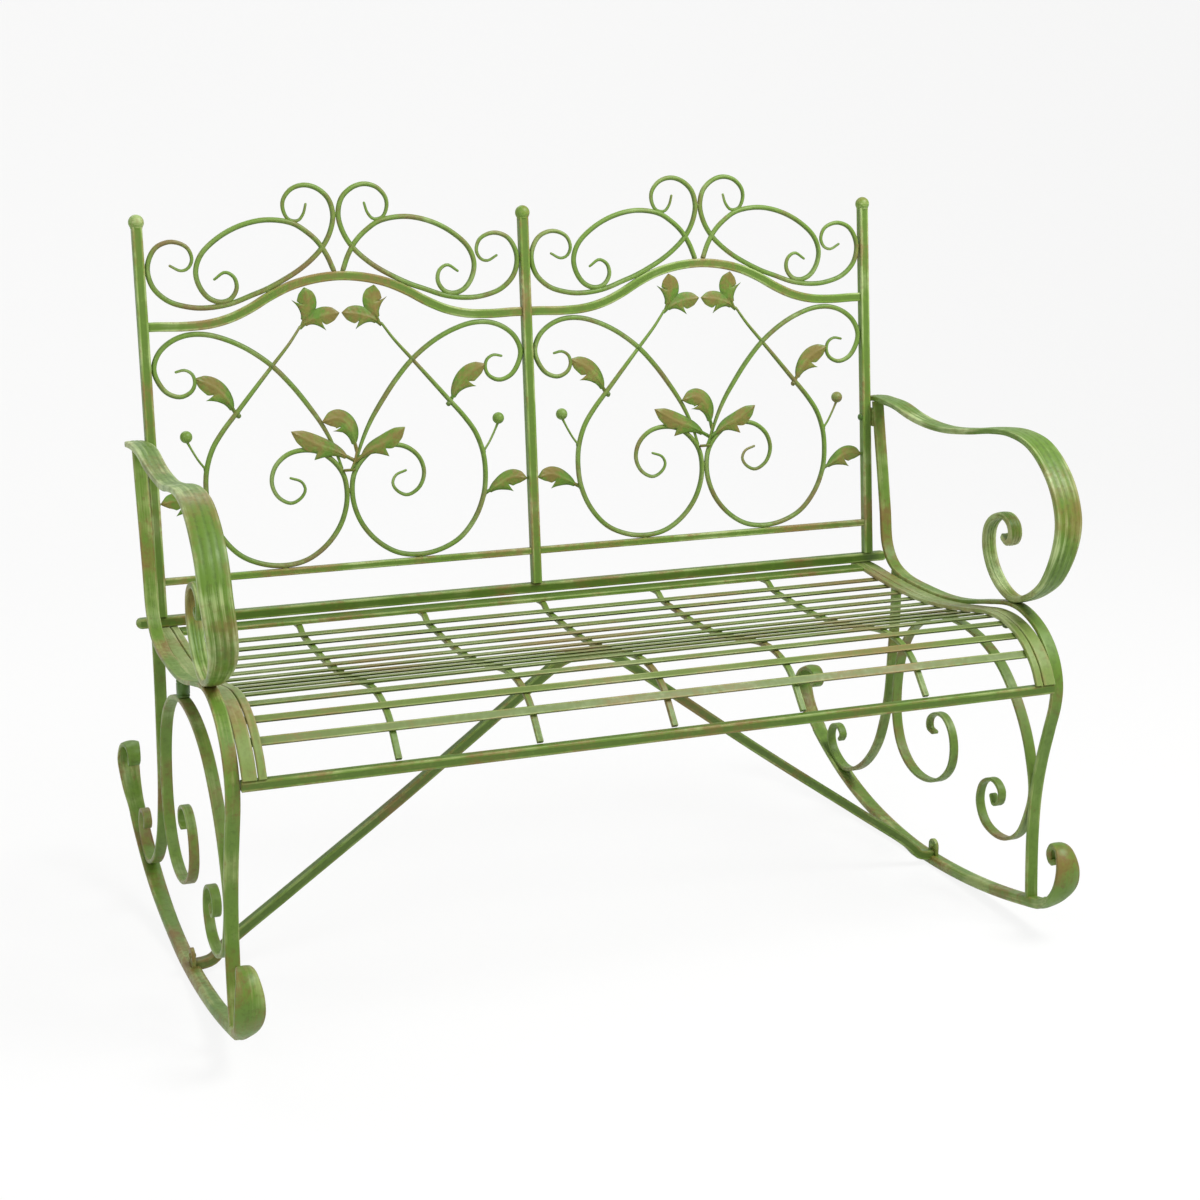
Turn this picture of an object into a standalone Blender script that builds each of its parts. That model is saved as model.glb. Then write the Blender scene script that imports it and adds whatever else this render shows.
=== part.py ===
"""Garden rocking bench in painted steel: strap side frames on rockers, slatted seat, scrolled back.

Run with: blender --background --python part.py
Lengths are in metres. X runs along the seat, Y towards the back, Z up.
"""
import math

import bmesh
import bpy
import numpy as np
from mathutils import Vector

mm = 0.001

# Overall layout
post_spacing = 1100 * mm
post_bar = 14 * mm
lower_rail_gap = 43.3 * mm
post_top = 482 * mm
finial_rise = 6 * mm
finial_radius = 10.5 * mm
back_recline = math.radians(5.15)
side_gap = 2 * mm
touch_gap = 0.3 * mm
seat_side_gap = 0.8 * mm

# Side frame straps
strap_thickness = 6 * mm
arm_thickness = 8 * mm
arm_splay = 9 * mm
arm_splay_start = 150 * mm
arm_splay_run = 200 * mm
arm_splay_foot = 500 * mm
arm_splay_rise = 100 * mm
arm_curl_forward = 360 * mm
arm_curl_height = 520 * mm
arm_curl_reach = 62 * mm
arm_lift_start = 580 * mm
arm_lift_run = 80 * mm
seat_level = 440 * mm
leg_width = 18 * mm
rear_leg_width = 16 * mm
arch_width = 16 * mm
arch_thickness = 5 * mm
rocker_width = 24 * mm
rocker_low_point = 190 * mm
rocker_flat = 44 * mm
rocker_front_radius = 1380 * mm
rocker_rear_radius = 700 * mm
rocker_step = 42 * mm
lug_width = 22 * mm
lug_height = 26 * mm
lug_thickness = 5 * mm
lug_forward = 207 * mm
strap_edge = 1.2 * mm

# Seat
seat_rail_width = 30 * mm
seat_rail_thickness = 6 * mm
front_rail_bar = 13 * mm
front_rail_height = 361.5 * mm
front_rail_outset = 4.1 * mm
seat_end_rise = 8 * mm
seat_end_drop = 17 * mm
rear_rail_width = 28 * mm
rear_rail_forward = 21 * mm
bottom_rail_bar = 14 * mm
bottom_rail_overhang = 28 * mm
long_bar_count = 5
long_bar_pitch = 182 * mm
long_bar_width = 8 * mm
long_bar_thickness = 6 * mm
slat_count = 13
first_slat_gap = 31 * mm
last_slat_gap = 42 * mm
slat_width = 12 * mm
slat_thickness = 3 * mm
slat_tuck = 14 * mm
slat_gap = 0.75 * mm

# Back panel
crest_rail_height = 13 * mm
crest_rail_depth = 7 * mm
lower_rail_bar = 10 * mm
scroll_rod = 7.4 * mm
scroll_tip = 3.6 * mm
bud_radius = 8.5 * mm
bud_stem = 4 * mm
root_depth = 0.9 * mm
leaf_thickness = 3 * mm
sprig_link_width = 16 * mm
sprig_link_height = 5 * mm
sprig_link_centre = 137 * mm

# Brace and fasteners
brace_width = 14 * mm
brace_thickness = 14 * mm
bolt_shank = 6 * mm
bolt_head = 11 * mm
bolt_head_height = 5 * mm
bolt_clearance = 0.4 * mm
arm_bolt_height = 657 * mm
arm_lug_thickness = 4 * mm
arm_lug_length = 30 * mm
arm_lug_height = 28 * mm
seat_bolt_forward = 410 * mm
seat_nut_clearance = 0.8 * mm
seat_nut_drop = 11 * mm
seat_nut_gap = 8 * mm
spacer_forward = 232 * mm
spacer_size = 17 * mm
spacer_gap = 0.4 * mm

# Paint, as linear base colours
paint_green = (0.157, 0.332, 0.060)
paint_light = (0.230, 0.400, 0.110)
paint_leaf = (0.200, 0.230, 0.050)
paint_dark = (0.090, 0.120, 0.030)

# Side outlines as (forward of the back's foot line, height above the floor, width), in millimetres
arm_line = [
    (-25, 685, 21), (-3, 687, 21), (25, 687, 30), (60, 685, 30), (110, 675, 29), (157, 670, 28),
    (210, 670, 29),
    (270, 677, 32), (330, 687, 35), (377, 690, 37), (425, 682, 39), (465, 658, 40), (494, 624, 40),
    (508, 582, 40), (505, 540, 38), (488, 505, 34), (459, 481, 27), (428, 466, 22),
]
arm_foot = (397, 461, 20)
arm_curl_line = [
    (362, 472, 20), (338, 494, 20), (325, 522, 20), (327, 549, 20), (343, 566, 20), (368, 573, 20),
    (387, 564, 20), (392, 548, 20), (383, 536, 20), (372, 541, 20),
]
leg_top_line = [(7.9, 24), (12.8, -21)]
leg_line = [
    (13, 576), (25, 517), (35, 465), (55, 440), (92, 426), (164, 421),
    (230, 422), (282, 429), (340, 442), (397, 452), (430, 448), (469, 430), (498, 400), (511, 366),
    (510, 336), (498, 295), (484, 247), (474, 194), (471, 135), (473, 77),
]
rear_leg_line = [
    (66, 400), (67, 371), (61, 282), (57, 235), (46, 188), (26, 139), (-6, 100), (-42, 76),
    (-75, 67),
]
rear_leg_foot = (-104, 72)
rear_leg_curl_line = [(-124, 90), (-130, 110), (-120, 127), (-101, 130), (-90, 119), (-96, 110)]
arch_front_line = [
    (366, 160), (373, 149), (386, 156), (388, 172), (374, 183), (355, 181), (338, 168), (332, 141),
    (348, 115), (380, 105), (412, 109), (441, 128), (458, 158),
]
arch_rest = (466, 196)
arch_rear_line = [
    (456, 248), (439, 284), (410, 323), (369, 359), (310, 384), (235, 392), (170, 378), (118, 343),
    (92, 300), (81, 250), (83, 200), (98, 162), (124, 138), (157, 127), (195, 129), (228, 144),
    (249, 168), (254, 196), (246, 222), (226, 238), (202, 237), (184, 224), (184, 210), (197, 206),
]
arch_crown_low = 310 * mm
rocker_front_line = [
    (521, 48, 30), (545, 66, 36), (562, 92, 38), (563, 120, 36), (547, 140, 31), (527, 139, 26),
    (518, 124, 22), (526, 112, 19), (537, 117, 18),
]
rocker_rear_line = [
    (-199, 185, 16), (-190, 177, 17), (-180, 186, 18), (-186, 200, 20), (-206, 205, 24),
    (-230, 194, 28), (-241, 171, 32), (-234, 145, 32), (-206, 118, 30),
]
seat_line = [
    (-7, 428), (22, 427), (70, 422.5), (140, 418), (210, 417.6), (280, 424), (340, 433.5),
    (393, 441), (438, 437), (478, 420),
]

# Brace outline as (out from the middle, height above the floor), in millimetres
brace_line = [(0, 390), (36, 384), (65, 365), (275, 212), (439, 97), (522, 38)]

# Back scrolls for half a bay, drawn for one 268 mm wide: (out from the bay's middle, up from the lower rail), in millimetres
crest_rail_line = [
    (0, 408), (35, 405), (68, 397), (98, 384), (127, 368), (155, 356), (185, 349), (220, 347), (255, 348),
]
crest_side_line = [
    (233, 429), (219, 422), (209, 425), (203, 437), (209, 453), (229, 461), (249, 455), (260, 440),
    (263.5, 422), (257, 400), (238, 382), (211, 373), (187, 371), (155, 375), (123, 386),
]
crest_rest_side = 96
crest_top_line = [
    (59, 416), (35, 434), (20, 450), (9, 470), (4.4, 492), (10, 514), (25, 528), (43, 533),
    (61, 528), (73, 514), (74, 500), (67, 487), (54, 485), (46, 494), (42, 507),
]
crest_inner_line = [
    (7, 416.5), (15, 436), (27, 455), (43, 470), (63, 482), (99, 487), (135, 480), (167, 464),
    (191, 442), (199, 420), (195, 400), (183, 384), (167, 378), (153, 382), (144, 396), (147, 411),
    (159, 418), (174, 409),
]
heart_outer_line = [
    (234, 286), (222, 288), (212, 282), (209, 270), (214, 259), (229, 252), (247, 258), (259, 274),
    (263.5, 292), (256, 312), (239, 327), (217, 335), (191, 335), (163, 327), (133, 312), (101, 288),
    (75, 260), (54, 232), (35, 203), (20, 172), (9, 140),
]
heart_inner_line = [
    (59, 340), (75, 318), (101, 288), (127, 258), (151, 230), (175, 202), (191, 178), (201, 148),
    (203, 116), (199, 88), (185, 56), (160, 28), (127, 13), (95, 9.4), (66, 15), (39, 32),
    (18, 57), (7, 84), (4.4, 108), (8, 130), (19, 148), (39, 164), (63, 169), (87, 164),
    (105, 148), (111, 126), (103, 106), (85, 96), (70, 103), (64, 114), (69, 125), (84, 131),
]
bud_stem_line = [(201, 150), (210, 162), (218, 176), (225, 190)]
bud_centre = (226, 197)

# Leaves for half a bay: midrib points, full width and how far along the side lobe stands
half_leaves = [
    ([(55, 341), (50, 356), (47, 374), (50, 393)], 21, 0.0),
    ([(59, 338), (46, 347), (26, 353), (3, 358)], 20, 0.0),
    ([(153, 221), (166, 243), (184, 262), (210, 276)], 24, 0.45),
    ([(199, 88), (222, 100), (246, 110), (267, 107)], 22, 0.45),
]
sprig_stem_top = (13, 167)
sprig_leaves = [
    ([(13, 160), (-16, 164), (-46, 174), (-81, 196)], 20, 0.5),
    ([(13, 162), (1, 202), (-16, 219), (-40, 215)], 20, 0.45),
    ([(11, 160), (34, 164), (56, 172), (84, 193)], 20, 0.5),
]


def in_metres(line):
    """Turn a list of millimetre points into arrays in metres."""
    return [np.array(point, float) * mm for point in line]


def blend(first, second, start, end, at):
    return first + (second - first) * ((at - start) / (end - start))


def spline_point(around, knots, share):
    """Point of a centripetal Catmull-Rom curve between the second and third of four points."""
    at = knots[1] + (knots[2] - knots[1]) * share
    first = [blend(around[i], around[i + 1], knots[i], knots[i + 1], at) for i in range(3)]
    second = [blend(first[i], first[i + 1], knots[i], knots[i + 2], at) for i in range(2)]
    return blend(second[0], second[1], knots[1], knots[2], at)


def turn_between(first, second):
    """Angle in degrees between two directions in the plane."""
    cross = first[0] * second[1] - first[1] * second[0]
    return abs(math.degrees(math.atan2(cross, first[0] * second[0] + first[1] * second[1])))


def smooth_path(points, turn=20.0, reach=95 * mm):
    """Run a smooth curve through the points and split it where it bends or runs far.

    The first two numbers of a point set the shape. A third one, a width, rides along.
    """
    points = [np.array(point, float) for point in points]
    padded = [2 * points[0] - points[1]] + points + [2 * points[-1] - points[-2]]
    path = []
    for index in range(len(points) - 1):
        around = padded[index:index + 4]
        knots = [0.0]
        for first, second in zip(around, around[1:]):
            knots.append(knots[-1] + math.sqrt(np.linalg.norm((second - first)[:2])))
        fine = [spline_point(around, knots, step / 12) for step in range(13)]
        steps = [(second - first)[:2] for first, second in zip(fine, fine[1:])]
        bend = sum(turn_between(first, second) for first, second in zip(steps, steps[1:]))
        length = sum(np.linalg.norm(step) for step in steps)
        count = max(1, math.ceil(bend / turn - 0.3), math.ceil(length / reach))
        path += [spline_point(around, knots, step / count) for step in range(count)]
    path.append(points[-1])
    return path


def thin_path(path, turn, reach):
    """Leave out the points of a fine path that neither its bends nor its length need."""
    kept = [path[0]]
    bend = 0.0
    for before, here, after in zip(path, path[1:], path[2:]):
        bend += turn_between((here - before)[:2], (after - here)[:2])
        if bend >= turn or np.linalg.norm((after - kept[-1])[:2]) > reach:
            kept.append(here)
            bend = 0.0
    return kept + [path[-1]]


def along(path, distance):
    """Point and direction at a distance along a path."""
    for first, second in zip(path, path[1:]):
        step = (second - first)[:2]
        length = np.linalg.norm(step)
        if distance <= length:
            return first[:2] + step * (distance / length), step / length
        distance -= length
    return path[-1][:2], step / length


def crossing(path, value, axis=0):
    """Distance along a path at which one coordinate first passes a value."""
    travelled = 0.0
    for first, second in zip(path, path[1:]):
        length = np.linalg.norm((second - first)[:2])
        if (first[axis] - value) * (second[axis] - value) <= 0 and first[axis] != second[axis]:
            return travelled + length * (value - first[axis]) / (second[axis] - first[axis])
        travelled += length
    return travelled


def beside(path, value, distance, axis=0):
    """Point to the left of a path where one coordinate passes a value, seen along the path."""
    point, direction = along(path, crossing(path, value, axis))
    return point + np.array([-direction[1], direction[0]]) * distance


def nearest(path, point):
    """Point of a path that lies closest to another point."""
    closest = path[0][:2]
    for first, second in zip(path, path[1:]):
        step = (second - first)[:2]
        share = np.dot(point[:2] - first[:2], step) / np.dot(step, step)
        foot = first[:2] + step * min(max(share, 0), 1)
        if np.linalg.norm(foot - point[:2]) < np.linalg.norm(closest - point[:2]):
            closest = foot
    return closest


def rooted(line, path):
    """Line that starts just past the middle of the rod it grows from."""
    foot = nearest(path, line[0])
    way = (line[1] - foot) / np.linalg.norm(line[1] - foot)
    return [foot - way * root_depth] + line[1:]


def heights_between(path, low, high):
    """Heights of a path at two forward positions and at its own points between them."""
    heights = [beside(path, low, 0)[1], beside(path, high, 0)[1]]
    return heights + [point[1] for point in path if low < point[0] < high]


def offset_path(path, distance):
    """Path moved sideways to its left by a distance."""
    moved = []
    for index in range(len(path)):
        before = path[max(index - 1, 0)]
        after = path[min(index + 1, len(path) - 1)]
        direction = (after - before)[:2] / np.linalg.norm((after - before)[:2])
        moved.append(path[index][:2] + np.array([-direction[1], direction[0]]) * distance)
    return moved


def with_width(points, width):
    return [np.array([point[0], point[1], width]) for point in points]


def fill_material(thing, colour, roughness=0.5, metallic=0.3):
    material = bpy.data.materials.new(thing.name + "_paint")
    material.use_nodes = True
    shader = material.node_tree.nodes["Principled BSDF"]
    shader.inputs["Base Color"].default_value = (*colour, 1.0)
    shader.inputs["Roughness"].default_value = roughness
    shader.inputs["Metallic"].default_value = metallic
    thing.data.materials.clear()
    thing.data.materials.append(material)


def add_curve(name, points, closed=False):
    """Add a flat poly curve with a point's third number, if any, as its radius."""
    curve = bpy.data.curves.new(name, "CURVE")
    curve.dimensions = "2D"
    spline = curve.splines.new("POLY")
    spline.points.add(len(points) - 1)
    for target, point in zip(spline.points, points):
        target.co = (point[0], point[1], 0, 1)
        if len(point) > 2:
            target.radius = point[2]
    spline.use_cyclic_u = closed
    thing = bpy.data.objects.new(name, curve)
    parts.objects.link(thing)
    return thing


def add_strap(name, path, thickness, edge=strap_edge):
    """Bend a flat bar along a path of (first, second, width) points."""
    widest = max(point[2] for point in path)
    thing = add_curve(name, [(point[0], point[1], point[2] / widest) for point in path])
    thing.data.extrude = widest / 2
    shell = thing.modifiers.new("thickness", "SOLIDIFY")
    shell.thickness = thickness
    shell.offset = 0
    shell.use_even_offset = True
    if edge > 0:
        bevel = thing.modifiers.new("edges", "BEVEL")
        bevel.width = edge
        bevel.segments = 1
        bevel.limit_method = "ANGLE"
        bevel.angle_limit = math.radians(50)
    return thing


def rod_path(points, start, middle, end, taper_share=0.25):
    """Path of (first, second, diameter) points for a round bar that is drawn down to its ends."""
    path = thin_path(smooth_path(points, turn=6.0, reach=12 * mm), 22.0, 75 * mm)
    lengths = [0.0]
    for first, second in zip(path, path[1:]):
        lengths.append(lengths[-1] + np.linalg.norm(second - first))
    rod = []
    for point, length in zip(path, lengths):
        share = length / lengths[-1]
        size = middle
        if share < taper_share:
            size = start + (middle - start) * math.sin(share / taper_share * math.pi / 2)
        if share > 1 - taper_share:
            size = end + (middle - end) * math.sin((1 - share) / taper_share * math.pi / 2)
        rod.append(np.array([point[0], point[1], size]))
    return rod


def settle(rod, axis, low=None, high=None):
    """Stretch a rod's path along one axis until its surface reaches the given limits."""
    lowest = min(rod, key=lambda point: point[axis] - point[2] / 2)
    highest = max(rod, key=lambda point: point[axis] + point[2] / 2)
    start = lowest[axis] if low is None else low + lowest[2] / 2
    end = highest[axis] if high is None else high - highest[2] / 2
    scale = (end - start) / (highest[axis] - lowest[axis])
    settled = [point.copy() for point in rod]
    for point, target in zip(rod, settled):
        target[axis] = start + (point[axis] - lowest[axis]) * scale
    return settled


def add_rod(name, rod):
    """Round bar along a path of (first, second, diameter) points."""
    widest = max(point[2] for point in rod)
    thing = add_curve(name, [(point[0], point[1], point[2] / widest) for point in rod])
    thing.data.dimensions = "3D"
    thing.data.twist_mode = "Z_UP"
    thing.data.bevel_depth = widest / 2
    thing.data.bevel_resolution = 1
    thing.data.use_fill_caps = True
    return thing


def add_box(name, size, location=(0, 0, 0), edge=0):
    bpy.ops.mesh.primitive_cube_add(size=1, location=location)
    thing = bpy.context.object
    thing.name = name
    thing.data.name = name
    for vertex in thing.data.vertices:
        vertex.co = Vector([vertex.co[axis] * size[axis] for axis in range(3)])
    for collection in list(thing.users_collection):
        collection.objects.unlink(thing)
    parts.objects.link(thing)
    if edge > 0:
        bevel = thing.modifiers.new("edges", "BEVEL")
        bevel.width = edge
        bevel.segments = 1
    return thing


def add_cylinder(name, radius, depth, location, axis="Z", sides=12):
    bpy.ops.mesh.primitive_cylinder_add(vertices=sides, radius=radius, depth=depth, location=location)
    thing = bpy.context.object
    thing.name = name
    thing.data.name = name
    if axis == "X":
        thing.rotation_euler = (0, math.pi / 2, 0)
    if axis == "Y":
        thing.rotation_euler = (math.pi / 2, 0, 0)
    for collection in list(thing.users_collection):
        collection.objects.unlink(thing)
    parts.objects.link(thing)
    return thing


def add_ball(name, radius, location, segments=12, rings=8):
    bpy.ops.mesh.primitive_uv_sphere_add(segments=segments, ring_count=rings, radius=radius, location=location)
    thing = bpy.context.object
    thing.name = name
    thing.data.name = name
    for collection in list(thing.users_collection):
        collection.objects.unlink(thing)
    parts.objects.link(thing)
    return thing


def add_leaf(name, midrib, width, lobe):
    """Flat leaf around a midrib, with a small lobe on its right side where asked."""
    spine = smooth_path(midrib, turn=60.0, reach=1.0)
    total = sum(np.linalg.norm(second - first) for first, second in zip(spine, spine[1:]))
    left = []
    right = []
    stations = 7
    for step in range(1, stations):
        share = step / stations
        point, direction = along(spine, total * share)
        half = width / 2 * math.sin(math.pi * min(share * 0.97 + 0.06, 1.0)) ** 0.8
        normal = np.array([-direction[1], direction[0]])
        left.append(point + normal * half)
        if lobe and abs(share - lobe) < 0.5 / stations:
            half *= 1.5
        right.append(point - normal * half)
    outline = [spine[0]] + left + [spine[-1]] + right[::-1]
    thing = add_curve(name, outline, closed=True)
    thing.data.fill_mode = "BOTH"
    thing.data.extrude = leaf_thickness / 2
    return thing


def to_mesh(thing):
    """Replace an object by the mesh that its curve and modifiers make, with welded seams."""
    bpy.context.view_layer.update()
    graph = bpy.context.evaluated_depsgraph_get()
    mesh = bpy.data.meshes.new_from_object(thing.evaluated_get(graph))
    shape = bmesh.new()
    shape.from_mesh(mesh)
    bmesh.ops.remove_doubles(shape, verts=shape.verts, dist=0.00002)
    bmesh.ops.recalc_face_normals(shape, faces=shape.faces)
    shape.to_mesh(mesh)
    shape.free()
    name = thing.name
    placed = thing.matrix_world.copy()
    bpy.data.objects.remove(thing)
    mesh.name = name
    solid = bpy.data.objects.new(name, mesh)
    parts.objects.link(solid)
    solid.matrix_world = placed
    return solid


def combine(name, base, others, operation="UNION"):
    """Join other shapes to a base, or cut them from it, and keep one mesh."""
    base = to_mesh(base)
    others = [to_mesh(other) for other in others]
    for other in others:
        step = base.modifiers.new("combine", "BOOLEAN")
        step.operation = operation
        step.solver = "EXACT"
        step.object = other
    base = to_mesh(base)
    for other in others:
        bpy.data.objects.remove(other)
    base.name = name
    base.data.name = name
    return base


def add_frame(name, location, rotation):
    """Empty whose axes the flat drawings are made in."""
    frame = bpy.data.objects.new(name, None)
    frame.empty_display_size = 0.1
    frame.location = location
    frame.rotation_euler = rotation
    parts.objects.link(frame)
    return frame


def finish(thing, colour, frame=None):
    """Paint an object and hang it in its frame."""
    thing.parent = frame
    fill_material(thing, colour)
    if thing.type == "MESH":
        thing.data.shade_smooth()
        thing.data.set_sharp_from_angle(angle=math.radians(30))
    return thing


def rocker_flats(radius, curl_start, hand):
    """Middle line of the rocker from its lowest flat outwards to a curl, on one side."""
    ring = radius - strap_thickness / 2
    angle = math.asin(rocker_flat / 2 / ring)
    flat_drop = math.cos(angle)
    flats = []
    while hand * (rocker_low_point - curl_start) + ring * math.sin(angle) < -rocker_step / 5:
        height = strap_thickness / 2 + ring * (flat_drop - math.cos(angle))
        flats.append((rocker_low_point + hand * ring * math.sin(angle), height, rocker_width))
        angle += rocker_step / ring
    return flats


def ease(value):
    """Smooth step from 0 to 1."""
    value = min(max(value, 0), 1)
    return value * value * (3 - 2 * value)


def splay(arm, hand):
    """Lean the arm's front sweep outwards, but not the curl that stands on the leg."""
    for vertex in arm.data.vertices:
        forward, height = vertex.co.x, vertex.co.y
        if math.hypot(forward - arm_curl_forward, height - arm_curl_height) > arm_curl_reach:
            front = ease((forward - arm_splay_start) / arm_splay_run)
            rise = ease((height - arm_splay_foot) / arm_splay_rise)
            vertex.co.z -= hand * arm_splay * front * rise


def in_bay(line, middle, hand):
    """Half-bay points in metres, mirrored to their half and moved to their bay."""
    points = []
    for point in line:
        across = point[0] * mm * bay / (268 * mm)
        points.append(np.array([middle + hand * across, point[1] * mm]))
    return points


def to_bay(path, middle, hand):
    """Half-bay path in metres, mirrored to its half and moved to its bay."""
    return [np.array([middle + hand * point[0], *point[1:]]) for point in path]


for old in list(bpy.data.objects):
    bpy.data.objects.remove(old)
parts = bpy.data.collections.new("rocking_bench")
bpy.context.scene.collection.children.link(parts)

# Rocker path: a rear curl, flats along two circles that meet under the middle, and a front curl
rear_curl = in_metres(rocker_rear_line)
front_curl = in_metres(rocker_front_line)
rear_flats = rocker_flats(rocker_rear_radius, rear_curl[-1][0], -1)[::-1]
front_flats = rocker_flats(rocker_front_radius, front_curl[0][0], 1)
rocker_points = rear_curl + rear_flats + front_flats + front_curl
rocker_path = smooth_path(rocker_points)
forwards = [point[0] for point in rocker_path]
middle_forward = (max(forwards) + min(forwards)) / 2
side_plane = (post_spacing + post_bar + leg_width) / 2 + side_gap

# Back height, from the seat rails up
lean = math.tan(back_recline)
bottom_rail_height = seat_line[0][1] * mm + seat_rail_thickness / 2 + touch_gap + bottom_rail_bar / 2
back_height = bottom_rail_height + (bottom_rail_bar + lower_rail_bar) / 2 + lower_rail_gap

# Leg path: its top stands in front of the end post, by the arm bolt, and its foot on the rocker.
# The outlines are drawn for a bolt 657 mm up.
foot_forward = leg_line[-1][0] * mm + 3 * mm
foot_seat = beside(rocker_path, foot_forward + strap_thickness / 2, strap_thickness / 2 + touch_gap)
leg_points = []
for stand_off, above in leg_top_line:
    height = arm_bolt_height + above * mm
    leg_points.append(np.array([stand_off * mm - (height - back_height) * lean, height]))
for point in in_metres(leg_line):
    if point[1] > seat_level:
        point[1] = seat_level + (point[1] - seat_level) * (arm_bolt_height - seat_level) / (217 * mm)
    leg_points.append(point)
leg_path = smooth_path(leg_points + [(foot_forward, foot_seat[1] + 0.3 * mm)])

# Rear leg path, from under the leg strap to the rocker
rear_points = in_metres(rear_leg_line)
rear_top = beside(leg_path[4:], rear_points[0][0] + strap_thickness * 0.6, -strap_thickness / 2 - touch_gap)
rear_foot = beside(rocker_path, rear_leg_foot[0] * mm, strap_thickness + touch_gap)
rear_points = [(rear_points[0][0], rear_top[1] - 0.2 * mm)] + rear_points[1:] + [rear_foot]
rear_leg_path = smooth_path(rear_points + in_metres(rear_leg_curl_line))

# Arch path, leaning on the leg strap
arch_gap = (strap_thickness + arch_thickness) / 2 + touch_gap
arch_lean = beside(leg_path, arch_rest[1] * mm, -arch_gap, axis=1)
arch_path = smooth_path(in_metres(arch_front_line) + [arch_lean] + in_metres(arch_rear_line))

# Arm path, with its scroll standing on the leg strap
arm_gap = (strap_thickness + arm_thickness) / 2 + touch_gap
arm_stand = beside(leg_path, arm_foot[0] * mm, arm_gap)
arm_points = in_metres(arm_line)
for point in arm_points:
    point[1] += (arm_bolt_height - 657 * mm) * ease((point[1] - arm_lift_start) / arm_lift_run)
arm_points.append(np.array([arm_stand[0], arm_stand[1], arm_foot[2] * mm]))
arm_path = smooth_path(arm_points + in_metres(arm_curl_line))

# Front rail on the leg strap, and the seat path that ends above it
front_rail_forward = beside(leg_path, front_rail_height, 0, axis=1)[0] + front_rail_outset
front_rail_top = front_rail_height + front_rail_bar / 2
seat_end = (front_rail_forward + seat_end_rise / 4, front_rail_top + seat_end_rise)
seat_turn = (front_rail_forward - seat_end_rise, front_rail_top + seat_end_rise + seat_end_drop)
seat_path = smooth_path(in_metres(seat_line) + [seat_turn, seat_end], turn=9.0)
seat_length = sum(np.linalg.norm(second - first) for first, second in zip(seat_path, seat_path[1:]))

# Layers below the seat path
slat_drop = (seat_rail_thickness + slat_thickness) / 2 + slat_gap
bar_drop = slat_drop + (slat_thickness + long_bar_thickness) / 2 + slat_gap
rail_inner = side_plane - leg_width / 2 - seat_side_gap - seat_rail_width
rail_middle = rail_inner + seat_rail_width / 2
rear_rail_height = along(seat_path, crossing(seat_path, rear_rail_forward))[0][1]
first_slat = crossing(seat_path, rear_rail_forward + rear_rail_width / 2) + first_slat_gap
slat_pitch = (seat_length - first_slat - last_slat_gap) / (slat_count - 1)

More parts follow.
